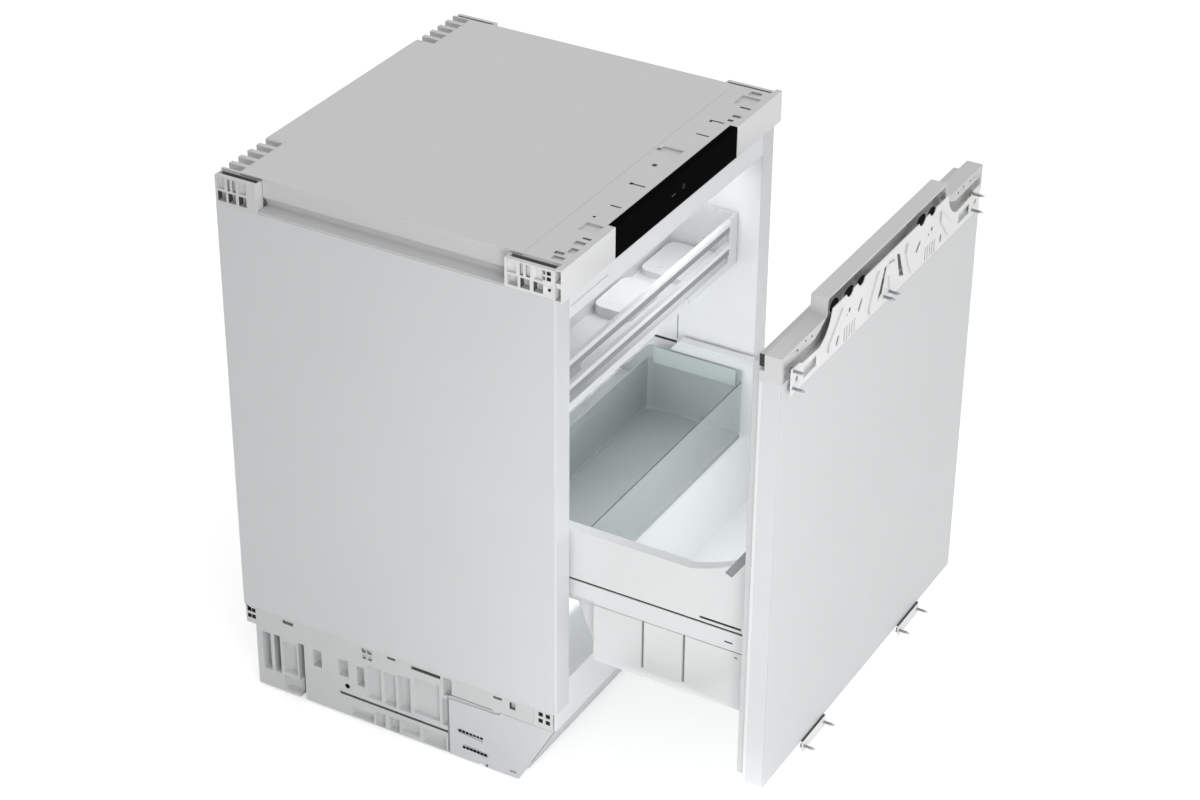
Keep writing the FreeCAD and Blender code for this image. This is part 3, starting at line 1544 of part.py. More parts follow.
def angleBrackets():
    # two small angles under the door that hold the foot of the furniture front
    solids = []
    face = doorOuter - angleStand - bracketSheet
    for side in (-1, 1):
        a = side * (angleX - angleHalf)
        b = side * (angleX + angleHalf)
        plate = box(min(a, b), max(a, b), face, face + bracketSheet, doorBottom - angleTall,
                    doorBottom)
        flange = box(min(a, b), max(a, b), face, doorOuter + angleDeep, doorBottom - bracketSheet,
                     doorBottom)
        holes = [rod(screwRadius + slideGap / 5,
                     (side * angleX + end, face - overrun, doorBottom - angleTall / 2),
                     (side * angleX + end, face + overrun, doorBottom - angleTall / 2))
                 for end in (-angleScrew, angleScrew)]
        solids.append(cut(joined([plate, flange]), holes))
    return Part.makeCompound(solids)


def screw(x, z, face):
    # head behind the sheet, neck through it and pointed shank in front of it
    tip = 5.0
    head = rod(screwHead, (x, face + bracketSheet, z), (x, face + bracketSheet + screwHeadTall, z))
    neck = rod(screwNeck, (x, face - slideGap, z), (x, face + bracketSheet, z))
    shank = rod(screwRadius, (x, face - screwOut + tip, z), (x, face, z))
    point = cone(screwRadius / 5, screwRadius, (x, face - screwOut, z),
                 (x, face - screwOut + tip, z))
    return joined([head, neck, shank, point])


def frontScrews():
    solids = [screw(x, z, bracketFace) for x, z in screwPlaces]
    face = doorOuter - angleStand - bracketSheet
    for side in (-1, 1):
        for end in (-angleScrew, angleScrew):
            solids.append(screw(side * angleX + end, doorBottom - angleTall / 2, face))
    return Part.makeCompound(solids)


def allParts():
    housing, lens = lightHousing()
    parts = {
        "back_panel": backPanel(), "top_cover": topCover(), "front_trim": frontTrim(),
        "control_panel": controlPanel(), "control_board": controlBoard(),
        "front_rail_top": frontRailTop(), "front_rail_bottom": frontRailBottom(),
        "inner_liner": innerLiner(), "insulation_foam": insulationFoam(),
        "evaporator": evaporator(), "light_housing": housing, "light_lens": lens,
        "upper_tray": upperTray(), "tray_trims": trayTrims(),
        "tray_inserts": trayInserts(), "base_plate": basePlate(),
        "lower_corner_blocks": lowBlocks(), "compressor": compressor(),
        "compressor_motor": compressorMotor(), "middle_runners": middleRunners(),
        "compressor_mounts": compressorMounts(), "start_relay": startRelay(),
        "condenser": condenser(), "fan_shroud": fanShroud(), "fan_rotor": fanRotor(),
        "evaporation_tray": evaporationTray(), "filter_drier": filterDrier(),
        "refrigerant_pipes": refrigerantPipes(), "compressor_cover": compressorCover(),
        "inlet_socket": inletSocket(), "carriage_shell": carriageShell(),
        "clear_box": clearBox(), "door_outer_panel": doorOuterPanel(),
        "door_inner_panel": doorInnerPanel(), "door_foam": doorFoam(),
        "door_top_cap": doorTopCap(), "door_gasket": doorGasket(),
        "front_bracket": frontBracket(), "angle_brackets": angleBrackets(),
        "front_screws": frontScrews()}
    pairs = {
        "side_panel": sidePanel, "front_corner_block": frontBlock,
        "rear_corner_block": rearBlock, "base_side": baseSide, "side_cover": sideCover,
        "cabinet_runner": cabinetRunner, "drawer_runner": drawerRunner, "carriage_side": carriageSide}
    for name, make in pairs.items():
        parts.update(pair(name, make))
    for name, (x, y) in footPlaces.items():
        parts["foot_" + name] = foot(x, y)
    return parts


def main():
    os.makedirs("parts", exist_ok=True)
    foremost = bracketFace - screwOut
    shift = Vec(0, -(foremost + bodyDepth) / 2, 0)
    for name, shape in sorted(allParts().items()):
        shape = shape.copy()
        shape.translate(shift)
        shape.exportStep("parts/" + name + ".step")
        print(name, len(shape.Solids), round(shape.Volume / 1000, 1), shape.isValid())


main()
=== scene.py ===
import json
import math

import bmesh
import bpy
from mathutils import Matrix, Vector
from mathutils.bvhtree import BVHTree

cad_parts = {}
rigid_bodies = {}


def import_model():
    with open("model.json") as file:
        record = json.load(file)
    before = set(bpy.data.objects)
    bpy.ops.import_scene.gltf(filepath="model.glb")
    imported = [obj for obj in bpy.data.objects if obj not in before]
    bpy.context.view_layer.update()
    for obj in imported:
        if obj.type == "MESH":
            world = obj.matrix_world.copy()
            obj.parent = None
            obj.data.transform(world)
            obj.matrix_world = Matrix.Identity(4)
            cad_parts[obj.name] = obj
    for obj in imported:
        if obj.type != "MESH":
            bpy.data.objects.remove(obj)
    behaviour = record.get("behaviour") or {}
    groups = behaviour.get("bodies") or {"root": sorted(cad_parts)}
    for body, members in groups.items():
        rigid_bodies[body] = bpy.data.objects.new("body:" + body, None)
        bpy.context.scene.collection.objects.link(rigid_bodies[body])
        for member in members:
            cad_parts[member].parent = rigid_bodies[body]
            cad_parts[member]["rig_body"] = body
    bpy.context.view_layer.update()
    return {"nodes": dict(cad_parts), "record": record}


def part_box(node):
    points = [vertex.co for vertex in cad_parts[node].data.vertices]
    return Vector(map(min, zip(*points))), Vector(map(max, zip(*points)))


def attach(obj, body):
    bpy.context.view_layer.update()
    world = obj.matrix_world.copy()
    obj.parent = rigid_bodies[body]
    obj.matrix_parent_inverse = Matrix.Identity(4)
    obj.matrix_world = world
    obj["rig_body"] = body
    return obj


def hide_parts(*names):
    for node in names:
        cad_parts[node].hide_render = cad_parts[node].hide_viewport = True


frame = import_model()
slotOf = {part["node"]: part["material_slot"] for part in frame["record"]["subparts"]}
mm = 0.001
hands = (("Left", -1), ("Right", 1))     # each side's name and the sign of its x
print("nodes loaded:", len(frame["nodes"]))


# shared helpers

def colour(hexText):
    # sRGB hex to the linear values that the sockets take
    parts = [int(hexText[i:i + 2], 16) / 255 for i in (0, 2, 4)]
    return tuple(c / 12.92 if c <= 0.04045 else ((c + 0.055) / 1.055) ** 2.4 for c in parts) + (1.0,)


def perMm(size):
    # texture scale that makes one feature about this many millimetres wide
    return 1 / (size * mm)


def addNode(tree, kind, values):
    # lower-case keys are settings, the others are sockets by name or number
    node = tree.nodes.new(kind)
    for key, value in values.items():
        if isinstance(key, str) and key[0].islower():
            setattr(node, key, value)
        elif isinstance(value, bpy.types.NodeSocket):
            tree.links.new(value, node.inputs[key])
        else:
            node.inputs[key].default_value = value
    return node


def newFinish(name, values):
    # a material with its shader and the place on the object
    finish = bpy.data.materials.new(name)
    finish.use_nodes = True
    tree = finish.node_tree
    shader = tree.nodes["Principled BSDF"]
    for key, value in values.items():
        shader.inputs[key].default_value = value
    place = addNode(tree, "ShaderNodeTexCoord", {}).outputs["Object"]
    return finish, tree, shader, place


def dress(tree, shader, pattern, low, high, gloss=None, depth=None):
    # a pattern mixes two tones, moves the roughness between two values and raises the surface
    tone = addNode(tree, "ShaderNodeMix", {"data_type": "RGBA", 0: pattern,
                                           6: colour(low), 7: colour(high)}).outputs[2]
    tree.links.new(tone, shader.inputs["Base Color"])
    if gloss:
        rough = addNode(tree, "ShaderNodeMapRange", {"Value": pattern, "To Min": gloss[0],
                                                     "To Max": gloss[1]})
        tree.links.new(rough.outputs["Result"], shader.inputs["Roughness"])
    if depth:
        bump = addNode(tree, "ShaderNodeBump", {"Height": pattern, "Distance": depth * mm})
        tree.links.new(bump.outputs["Normal"], shader.inputs["Normal"])
    return tone


# what all moulded plastics have in common, and all painted steels, with the tone of the
# painted shade in their deepest recesses
mouldedPlastic = {
    "ior": 1.53,
    "cloud": 45, "cloudDetail": 2.0,     # mm across the slow clouds between the two tones
    "detail": 3.0, "harsh": 0.6,         # how rich and how broken the grain is
    "swing": 0.05,                       # roughness on either side of the part's own
    "bump": 0.6,
    "dust": "1c1c1c"}                    # tone of the deepest recesses
coatedSteel = {
    "ior": 1.5, "cloud": 120, "cloudDetail": 1.0, "detail": 1.0, "harsh": 0.5, "swing": 0.03,
    "bump": 0.5, "dust": "141414"}


def grained(common, name, low, high, grain, depth, gloss, values=None):
    # two close tones in slow clouds, a mould's grain or a paint's orange peel with gloss that
    # follows it, and painted shade that darkens the hollows to a near-black tone
    finish, tree, shader, place = newFinish(name, {"IOR": common["ior"], **(values or {})})
    cloud = addNode(tree, "ShaderNodeTexNoise", {"Vector": place, "Scale": perMm(common["cloud"]),
                                                 "Detail": common["cloudDetail"]})
    fine = addNode(tree, "ShaderNodeTexNoise", {"Vector": place, "Scale": perMm(grain),
                                                "Detail": common["detail"],
                                                "Roughness": common["harsh"]})
    tone = addNode(tree, "ShaderNodeMix", {"data_type": "RGBA", 0: cloud.outputs["Fac"],
                                           6: colour(low), 7: colour(high)})
    # painted shade: the hollow value mixes the tone towards the tone of the deepest recesses
    hollow = addNode(tree, "ShaderNodeAttribute", {"attribute_name": "hollow"})
    shaded = addNode(tree, "ShaderNodeMix", {"data_type": "RGBA", 0: hollow.outputs["Fac"],
                                             6: tone.outputs[2], 7: colour(common["dust"])})
    rough = addNode(tree, "ShaderNodeMapRange", {"Value": fine.outputs["Fac"], "From Min": 0.3,
                                                 "From Max": 0.7,
                                                 "To Min": gloss - common["swing"],
                                                 "To Max": gloss + common["swing"]})
    bump = addNode(tree, "ShaderNodeBump", {"Height": fine.outputs["Fac"], "Distance": depth * mm,
                                            "Strength": common["bump"]})
    tree.links.new(shaded.outputs[2], shader.inputs["Base Color"])
    tree.links.new(rough.outputs["Result"], shader.inputs["Roughness"])
    tree.links.new(bump.outputs["Normal"], shader.inputs["Normal"])
    return finish


# finishes of the record's material slots, and one more for the trim that paints front light;
# grain and depth in mm

def rollerCoatedSteel():
    # steel sheet painted on the coil by rollers: even satin white with a faint orange peel
    return grained(coatedSteel, "rollerCoatedSteel", "dadcdd", "dee0e1", grain=3.5, depth=0.02,
                   gloss=0.42)


def hotDipGalvanisedSteel():
    # hot-dip galvanised sheet: dull grey metal in crystal flakes of about a centimetre
    finish, tree, shader, place = newFinish("hotDipGalvanisedSteel", {"Metallic": 0.9})
    flake = addNode(tree, "ShaderNodeTexVoronoi", {"Vector": place, "Scale": perMm(11)})
    dress(tree, shader, flake.outputs["Color"], "9fa3a5", "bcc0c2", gloss=(0.36, 0.52))
    return finish


def sparkGrainAbs():
    # ABS moulded in a spark-eroded tool: pale grey and matt, with a fine even grain
    return grained(mouldedPlastic, "sparkGrainAbs", "d8d8d8", "dcdcdc", grain=1.1, depth=0.05,
                   gloss=0.5)


def polishedFasciaAbs():
    # the same ABS, painted paler as the light from the front on faces that don't look up;
    # clean and smoother than the grained parts
    return grained(mouldedPlastic, "polishedFasciaAbs", "ececec", "efefef", grain=30.0, depth=0.02,
                   gloss=0.4)


def backPrintedGlass():
    # glass printed black from behind: deep black under one clean, weak reflection
    finish, tree, shader, place = newFinish("backPrintedGlass", {"IOR": 1.02})
    haze = addNode(tree, "ShaderNodeTexNoise", {"Vector": place, "Scale": perMm(30), "Detail": 2.0})
    dress(tree, shader, haze.outputs["Fac"], "070707", "0b0b0b", gloss=(0.06, 0.12))
    return finish


def greenSolderMask():
    # glass-fibre board under green solder mask: semi gloss, with the weave just showing
    finish, tree, shader, place = newFinish("greenSolderMask", {})
    weave = addNode(tree, "ShaderNodeTexChecker", {"Vector": place, "Scale": perMm(0.8)})
    dress(tree, shader, weave.outputs["Fac"], "1d5f38", "236a40")
    return finish


def powderCoatedFrame():
    # steel frame strip in white powder coat: a finer, slightly deeper peel than on the sides
    return grained(coatedSteel, "powderCoatedFrame", "ebecee", "eff0f1", grain=2.2, depth=0.03,
                   gloss=0.4)


def vacuumFormedStyrene():
    # polystyrene drawn over a mould: white, half gloss, with slow waves where it thinned
    return grained(mouldedPlastic, "vacuumFormedStyrene", "e8eaea", "ecedee", grain=40.0, depth=0.03,
                   gloss=0.34)


def blownPolyurethane():
    # polyurethane foam blown in place: off-white, with a cut surface of small closed cells
    finish, tree, shader, place = newFinish("blownPolyurethane", {"Roughness": 0.9})
    cell = addNode(tree, "ShaderNodeTexVoronoi", {"Vector": place, "Scale": perMm(1.6)})
    dress(tree, shader, cell.outputs["Distance"], "e6e3d8", "f0eee6", depth=0.4)
    return finish


def rollBondedAluminium():
    # two aluminium sheets rolled together: pale metal with fine rolling lines along X
    lineLong, lineWide = perMm(50), perMm(2 / 3)
    finish, tree, shader, place = newFinish("rollBondedAluminium", {"Metallic": 1.0})
    drawn = addNode(tree, "ShaderNodeMapping", {"Vector": place, "Scale": (lineLong, lineWide, lineWide)})
    line = addNode(tree, "ShaderNodeTexNoise", {"Vector": drawn.outputs["Vector"], "Scale": 1.0})
    dress(tree, shader, line.outputs["Fac"], "b8babc", "d0d2d3", gloss=(0.28, 0.42))
    return finish


def frostedAcrylic():
    # acrylic with a frosted inner face: milky, and it glows a little when the lamp is on
    finish, tree, shader, place = newFinish("frostedAcrylic", {"Roughness": 0.45, "IOR": 1.49,
                                                               "Emission Strength": 0.35})
    fine = addNode(tree, "ShaderNodeTexNoise", {"Vector": place, "Scale": perMm(2.0)})
    tone = dress(tree, shader, fine.outputs["Fac"], "eef2f3", "f6f9fa")
    tree.links.new(tone, shader.inputs["Emission Color"])
    return finish


def polishedStyrene():
    # polystyrene, injection moulded and polished: white with a clean half gloss
    return grained(mouldedPlastic, "polishedStyrene", "d9dadb", "dedfe0", grain=36.0, depth=0.02,
                   gloss=0.32)


def brushedAnodisedStrip():
    # aluminium strip, brushed along its length and anodised: bright, with fine lines along X
    lineLong, lineWide = perMm(250 / 3), perMm(0.4)
    finish, tree, shader, place = newFinish("brushedAnodisedStrip", {"Metallic": 0.35})
    drawn = addNode(tree, "ShaderNodeMapping", {"Vector": place, "Scale": (lineLong, lineWide, lineWide)})
    line = addNode(tree, "ShaderNodeTexNoise", {"Vector": drawn.outputs["Vector"], "Scale": 1.0})
    dress(tree, shader, line.outputs["Fac"], "e2e3e6", "ececee", gloss=(0.24, 0.38))
    return finish


def extrudedVinylStrip():
    # co-extruded vinyl strip: mid grey, smooth and dull
    return grained(mouldedPlastic, "extrudedVinylStrip", "8c8d8f", "949597", grain=3.0, depth=0.03,
                   gloss=0.45)


def injectionMouldedPolypropylene():
    # polypropylene, injection moulded: milky pale grey with a fine eroded grain
    return grained(mouldedPlastic, "injectionMouldedPolypropylene", "d3d5d5", "dadbdc", grain=1.3,
                   depth=0.06, gloss=0.48)


def talcFilledPolypropylene():
    # talc-filled polypropylene cover: the same pale grey, a touch smoother
    return grained(mouldedPlastic, "talcFilledPolypropylene", "d6d8d9", "dcdddf", grain=1.6,
                   depth=0.04, gloss=0.44)


def thinCoatedSteel():
    # folded steel in a thin pale coat: satin, and greyer than the sides
    return grained(coatedSteel, "thinCoatedSteel", "cfd1d3", "d6d8d9", grain=2.8, depth=0.02,
                   gloss=0.45)


def stoveEnamel():
    # stove enamel on the machine's steel: black, half gloss, with a lively orange peel
    return grained(coatedSteel, "stoveEnamel", "0d0d0e", "141415", grain=2.5, depth=0.06, gloss=0.34)


def sandCastIron():
    # cast iron and laminations: dark grey, rough from the sand
    finish, tree, shader, place = newFinish("sandCastIron", {"Metallic": 0.8, "Roughness": 0.6})
    grit = addNode(tree, "ShaderNodeTexNoise", {"Vector": place, "Scale": perMm(1.5), "Detail": 4.0})
    dress(tree, shader, grit.outputs["Fac"], "4a4a4b", "6a6a6b", depth=0.3)
    return finish


def mouldedNitrile():
    # moulded nitrile rubber: near black and dull, with a slight bloom
    return grained(mouldedPlastic, "mouldedNitrile", "161617", "222223", grain=2.0, depth=0.05,
                   gloss=0.75)


def glassFilledPolyamide():
    # glass-filled polyamide: black and matt, with a faint flow pattern
    return grained(mouldedPlastic, "glassFilledPolyamide", "141415", "1d1d1f", grain=1.8, depth=0.05,
                   gloss=0.5)


def annealedCopper():
    # drawn and annealed copper: warm metal, dulled in patches by handling
    finish, tree, shader, place = newFinish("annealedCopper", {"Metallic": 1.0})
    patch = addNode(tree, "ShaderNodeTexNoise", {"Vector": place, "Scale": perMm(22), "Detail": 4.0})
    dress(tree, shader, patch.outputs["Fac"], "8f5336", "cf8a63", gloss=(0.45, 0.22))
    return finish


def mouldedPolyamideFoot():
    # polyamide foot: pale grey, moulded, a little waxy
    return grained(mouldedPlastic, "mouldedPolyamideFoot", "b9babb", "c4c5c6", grain=1.5, depth=0.05,
                   gloss=0.42)


def rollFormedCoatedSteel():
    # roll-formed steel, thin white coat: clean and hard
    return grained(coatedSteel, "rollFormedCoatedSteel", "e2e4e5", "e8e9ea", grain=2.4, depth=0.015,
                   gloss=0.33)


def polishedToolAbs():
    # ABS, injection moulded, polished tool: white with soft gloss
    return grained(mouldedPlastic, "polishedToolAbs", "e2e5e5", "e7e9e9", grain=36.0, depth=0.02,
                   gloss=0.36)


def clearStyreneAcrylonitrile():
    # styrene acrylonitrile, moulded clear: a pale grey-green tint under a clean gloss, with
    # painted shade that makes it darker towards the rear wall
    values = {
        "paleAt": -0.09, "deepAt": 0.067,    # y in metres where the tint is palest and deepest
        "veil": 0.28}                        # share of the light that the plastic itself returns
    finish, tree, shader, place = newFinish("clearStyreneAcrylonitrile", {"IOR": 1.3})
    # painted shade: the tint darkens from paleAt to the rear wall's y
    spot = addNode(tree, "ShaderNodeSeparateXYZ", {"Vector": place})
    paintedShadeToRear = addNode(tree, "ShaderNodeMapRange", {"Value": spot.outputs["Y"],
                                                       "From Min": values["paleAt"],
                                                       "From Max": values["deepAt"]})
    dress(tree, shader, paintedShadeToRear.outputs["Result"], "d8dfde", "b4bcbb")
    wave = addNode(tree, "ShaderNodeTexNoise", {"Vector": place, "Scale": perMm(70), "Detail": 1.0})
    rough = addNode(tree, "ShaderNodeMapRange", {"Value": wave.outputs["Fac"], "To Min": 0.05,
                                                 "To Max": 0.09})
    tree.links.new(rough.outputs["Result"], shader.inputs["Roughness"])
    through = addNode(tree, "ShaderNodeBsdfTransparent", {"Color": colour("f3f5f5")})
    both = addNode(tree, "ShaderNodeMixShader", {0: values["veil"], 1: through.outputs[0],
                                                 2: shader.outputs[0]})
    tree.links.new(both.outputs[0], tree.nodes["Material Output"].inputs["Surface"])
    return finish


def extrudedSoftVinyl():
    # soft extruded vinyl: pale grey and dull, slightly uneven along its length
    return grained(mouldedPlastic, "extrudedSoftVinyl", "cdcfd0", "d5d7d8", grain=6.0, depth=0.10,
                   gloss=0.6)


def powderCoatedPressing():
    # pressed steel in white powder coat: bright, with a fine orange peel and soft edges
    return grained(coatedSteel, "powderCoatedPressing", "f2f2f2", "f5f5f5", grain=1.8, depth=0.04,
                   gloss=0.4)


def zincPlatedSteel():
    # zinc-plated steel: cool grey metal with a faint blue cast from the passivation
    finish, tree, shader, place = newFinish("zincPlatedSteel", {"Metallic": 1.0})
    patch = addNode(tree, "ShaderNodeTexNoise", {"Vector": place, "Scale": perMm(3.0)})
    dress(tree, shader, patch.outputs["Fac"], "8f9296", "a9acb0", gloss=(0.25, 0.4))
    return finish


finishes = {
    "painted_steel": rollerCoatedSteel(), "zinc_steel": hotDipGalvanisedSteel(),
    "grey_moulding": sparkGrainAbs(), "black_glass": backPrintedGlass(),
    "circuit_board": greenSolderMask(), "white_frame": powderCoatedFrame(),
    "white_liner": vacuumFormedStyrene(), "rigid_foam": blownPolyurethane(),
    "aluminium": rollBondedAluminium(), "lamp_lens": frostedAcrylic(),
    "white_tray": polishedStyrene(), "satin_trim": brushedAnodisedStrip(),
    "grey_insert": extrudedVinylStrip(), "pale_moulding": injectionMouldedPolypropylene(),
    "pale_cover": talcFilledPolypropylene(), "base_sheet": thinCoatedSteel(),
    "black_enamel": stoveEnamel(), "motor_iron": sandCastIron(),
    "mount_rubber": mouldedNitrile(), "black_plastic": glassFilledPolyamide(),
    "copper": annealedCopper(), "foot_plastic": mouldedPolyamideFoot(),
    "runner_steel": rollFormedCoatedSteel(), "white_carriage": polishedToolAbs(),
    "clear_plastic": clearStyreneAcrylonitrile(), "seal_vinyl": extrudedSoftVinyl(),
    "white_bracket": powderCoatedPressing(), "screw_steel": zincPlatedSteel()}
print("finishes made:", len(finishes))


# pieces that replace a node: the same shape with softened edges and painted shade in its hollows

merging = {
    "reach": 0.01,       # mm, points closer than this are one
    "flat": 0.4,         # degrees, faces flatter than this are one
    "smooth": 32.0}      # degrees, edges sharper than this stay sharp
softening = {
    "angle": 40.0,       # degrees, edges sharper than this are rounded
    "room": 2.4,         # free width beside an edge, in radii, that rounding it takes
    "segments": 2}
# where painted shade goes: rays from each face that meet the piece again close by
hollows = {
    "reach": 14.0,       # mm, walls farther away leave a face open
    "lift": 0.05,        # mm between a face and the start of its rays
    "open": 0.52,        # blocked share of the rays from which a face counts as hollow
    "full": 0.84,        # blocked share at which it is darkest
    "rings": (15, 35, 55, 72),
    "spokes": 8}


def bodyOf(node):
    return frame["nodes"][node]["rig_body"]


def camel(name):
    words = name.split("_")
    return words[0] + "".join(word.capitalize() for word in words[1:])


def mergedCopy(node):
    # the node's loose triangles as one closed bmesh with whole flat faces
    bm = bmesh.new()
    bm.from_mesh(frame["nodes"][node].data)
    bmesh.ops.remove_doubles(bm, verts=bm.verts, dist=merging["reach"] * mm)
    bmesh.ops.dissolve_limit(bm, angle_limit=math.radians(merging["flat"]), verts=bm.verts,
                             edges=bm.edges)
    return bm


def pieceFrom(bm, name, body, slot, finish=None):
    mesh = bpy.data.meshes.new(name)
    bm.to_mesh(mesh)
    bm.free()
    mesh.polygons.foreach_set("use_smooth", [True] * len(mesh.polygons))
    mesh.set_sharp_from_angle(angle=math.radians(merging["smooth"]))
    piece = bpy.data.objects.new(name, mesh)
    bpy.context.scene.collection.objects.link(piece)
    piece.data.materials.append(finish or finishes[slot])
    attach(piece, body)
    return piece


def apart(point, edge):
    # how far a point lies from an edge
    least = 1e-12        # an edge without length divides by this
    a, b = (vert.co for vert in edge.verts)
    along = b - a
    share = max(0.0, min(1.0, (point - a).dot(along) / max(along.length_squared, least)))
    return (point - a - along * share).length


def roomAt(face, edge):
    # free width of a face beside one of its edges
    middle = (edge.verts[0].co + edge.verts[1].co) / 2
    room = math.inf
    for other in face.edges:
        if not set(other.verts) & set(edge.verts):
            centre = (other.verts[0].co + other.verts[1].co) / 2
            room = min(room, apart(middle, other), apart(centre, edge))
    return room


def markEdges(bm, radius):
    # only sharp edges with room on both sides are rounded
    layer = bm.edges.layers.float.new("bevel_weight_edge")
    need = softening["room"] * radius * mm
    sharp = math.radians(softening["angle"])
    for edge in bm.edges:
        if len(edge.link_faces) == 2 and edge.calc_face_angle(0.0) > sharp:
            if edge.calc_length() > need and all(roomAt(face, edge) > need for face in edge.link_faces):
                edge[layer] = 1.0


def soften(piece, radius):
    bevel = piece.modifiers.new("softEdges", "BEVEL")
    bevel.width = radius * mm
    bevel.segments = softening["segments"]
    bevel.limit_method = "WEIGHT"
    bevel.harden_normals = True


def blockedShare(tree, face):
    # share of the rays from a face that meet the piece again close by
    normal = face.normal
    side = normal.orthogonal().normalized()
    other = normal.cross(side)
    start = face.calc_center_median() + normal * hollows["lift"] * mm
    blocked = 0
    for tilt in hollows["rings"]:
        lean = math.radians(tilt)
        for k in range(hollows["spokes"]):
            turn = 2 * math.pi * (k + 0.5) / hollows["spokes"]
            flat = side * math.cos(turn) + other * math.sin(turn)
            ray = normal * math.cos(lean) + flat * math.sin(lean)
            blocked += tree.ray_cast(start, ray, hollows["reach"] * mm)[0] is not None
    return blocked / (len(hollows["rings"]) * hollows["spokes"])


def markHollows(bm, least, most):
    # each face's hollow value sets its painted shade: 0 at the least blocked share, 1 at the most
    layer = bm.faces.layers.float.new("hollow")
    tree = BVHTree.FromBMesh(bm)
    for face in bm.faces:
        share = (blockedShare(tree, face) - least) / (most - least)
        face[layer] = max(0.0, min(1.0, share))


# radius in millimetres that the tool or the paint leaves on each piece's edges
edgeRadius = {
    "top_cover": 0.3, "front_trim": 0.3, "control_panel": 0.5, "front_rail_top": 0.5,
    "front_rail_bottom": 0.5, "inner_liner": 1.0, "light_housing": 0.8, "upper_tray": 0.8,
    "tray_trims": 0.4, "tray_inserts": 0.4, "base_plate": 0.4, "lower_corner_blocks": 0.4,
    "carriage_shell": 1.0, "clear_box": 0.6, "door_outer_panel": 0.3, "door_inner_panel": 0.8,
    "door_top_cap": 0.0, "door_gasket": 0.6, "front_bracket": 0.4, "angle_brackets": 0.3,
    "back_panel": 0.3, "compressor_cover": 0.2, "inlet_socket": 0.3, "start_relay": 0.6,
    "evaporation_tray": 0.6, "middle_runners": 0.2}
pairRadius = {
    "side_panel": 0.3, "front_corner_block": 0.4, "rear_corner_block": 0.4, "base_side": 0.5,
    "side_cover": 0.4, "cabinet_runner": 0.2, "drawer_runner": 0.2, "carriage_side": 0.8}
for pair, radius in pairRadius.items():
    for side in ("_left", "_right"):
        edgeRadius[pair + side] = radius

# pieces whose recesses get painted shade, and the blocked shares of those that need their own
hollowNodes = {"front_trim", "lower_corner_blocks", "door_top_cap", "front_bracket"}
for pair in ("front_corner_block", "rear_corner_block", "base_side", "side_cover", "carriage_side"):
    hollowNodes |= {pair + "_left", pair + "_right"}
fineHollows = {"front_trim": (0.3, 0.84), "front_bracket": (0.4, 0.64)}

# pieces whose faces that don't look up get a paler finish of their own, painted light from
# the front and side; the faces that look up keep the slot's finish
paintedLightFascia = polishedFasciaAbs()
paintedLightFinish = {"front_trim": paintedLightFascia, "front_corner_block_left": paintedLightFascia,
             "front_corner_block_right": paintedLightFascia}
lookingUp = 0.7          # a face looks up where the upward part of its normal is more than this


def softCopy(node, radius):
    bm = mergedCopy(node)
    if node in hollowNodes:
        markHollows(bm, *fineHollows.get(node, (hollows["open"], hollows["full"])))
    markEdges(bm, radius)
    piece = pieceFrom(bm, camel(node), bodyOf(node), slotOf[node], paintedLightFinish.get(node))
    # painted light: faces that don't look up get the paler copy, those that look up the slot's finish
    if node in paintedLightFinish:
        piece.data.materials.append(finishes[slotOf[node]])
        for face in piece.data.polygons:
            face.material_index = int(face.normal.z > lookingUp)
    if radius:
        soften(piece, radius)
    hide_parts(node)


for node, radius in edgeRadius.items():
    softCopy(node, radius)
print("soft copies made:", len(edgeRadius))

for node, part in frame["nodes"].items():
    if node not in edgeRadius:
        for materialSlot in part.material_slots:
            materialSlot.material = finishes[slotOf[node]]


# fitted pieces: their places are in millimetres

def slab(name, node, low, high, slot, finish=None):
    # a plain strip or pad between two corners, which rides with a node
    bm = bmesh.new()
    bmesh.ops.create_cube(bm, size=1.0)
    half = Vector((0.5, 0.5, 0.5))
    low, high = Vector(low) * mm, Vector(high) * mm
    for vert in bm.verts:
        vert.co = low + (vert.co + half) * (high - low)
    pieceFrom(bm, name, bodyOf(node), slot, finish)


def plug(name, node, centre, wide, tall, deep, slot, finish=None):
    # a flat round plug, turned to face the front
    bm = bmesh.new()
    bmesh.ops.create_cone(bm, cap_ends=True, segments=24, radius1=0.5, radius2=0.5, depth=1.0)
    for vert in bm.verts:
        x, y, z = vert.co
        vert.co = (Vector(centre) + Vector((x * wide, -z * deep, y * tall))) * mm
    pieceFrom(bm, name, bodyOf(node), slot, finish)


def sheetPatch(name, node, x, points, deep, slot):
    # a thin patch on a side face, from (y, z) corners
    bm = bmesh.new()
    corners = [bm.verts.new(Vector((x, y, z)) * mm) for y, z in points]
    face = bm.faces.new(corners)
    moved = bmesh.ops.extrude_face_region(bm, geom=[face])["geom"]
    for vert in (v for v in moved if isinstance(v, bmesh.types.BMVert)):
        vert.co.x -= deep * mm
    bmesh.ops.recalc_face_normals(bm, faces=bm.faces)
    pieceFrom(bm, name, bodyOf(node), slot)


def edgeOf(node, axis, end):
    # one side of the node's box
    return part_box(node)[end][axis] / mm


def paired(mark, near, far, y, z):
    # the two corners of a slab between two distances from the middle, left or right by mark
    left, right = sorted((mark * near, mark * far))
    return (left, y[0], z[0]), (right, y[1], z[1])


def sideMark(name, node, low, high, slot, finish=None, proud=0.07):
    # a dark line, a mark or a patch of painted shade let into a node's left face, from (y, z) corners
    sunk = 0.3
    out = edgeOf(node, 0, 0)
    slab(name, node, (out - proud, *low), (out + sunk, *high), slot, finish)


def darkVinylStrip():
    # darker grey strips in the carriage's grooves, smooth and dull, that make them read as dark lines
    return grained(mouldedPlastic, "darkVinylStrip", "6c6d6e", "747576", grain=3.0, depth=0.03,
                   gloss=0.5)


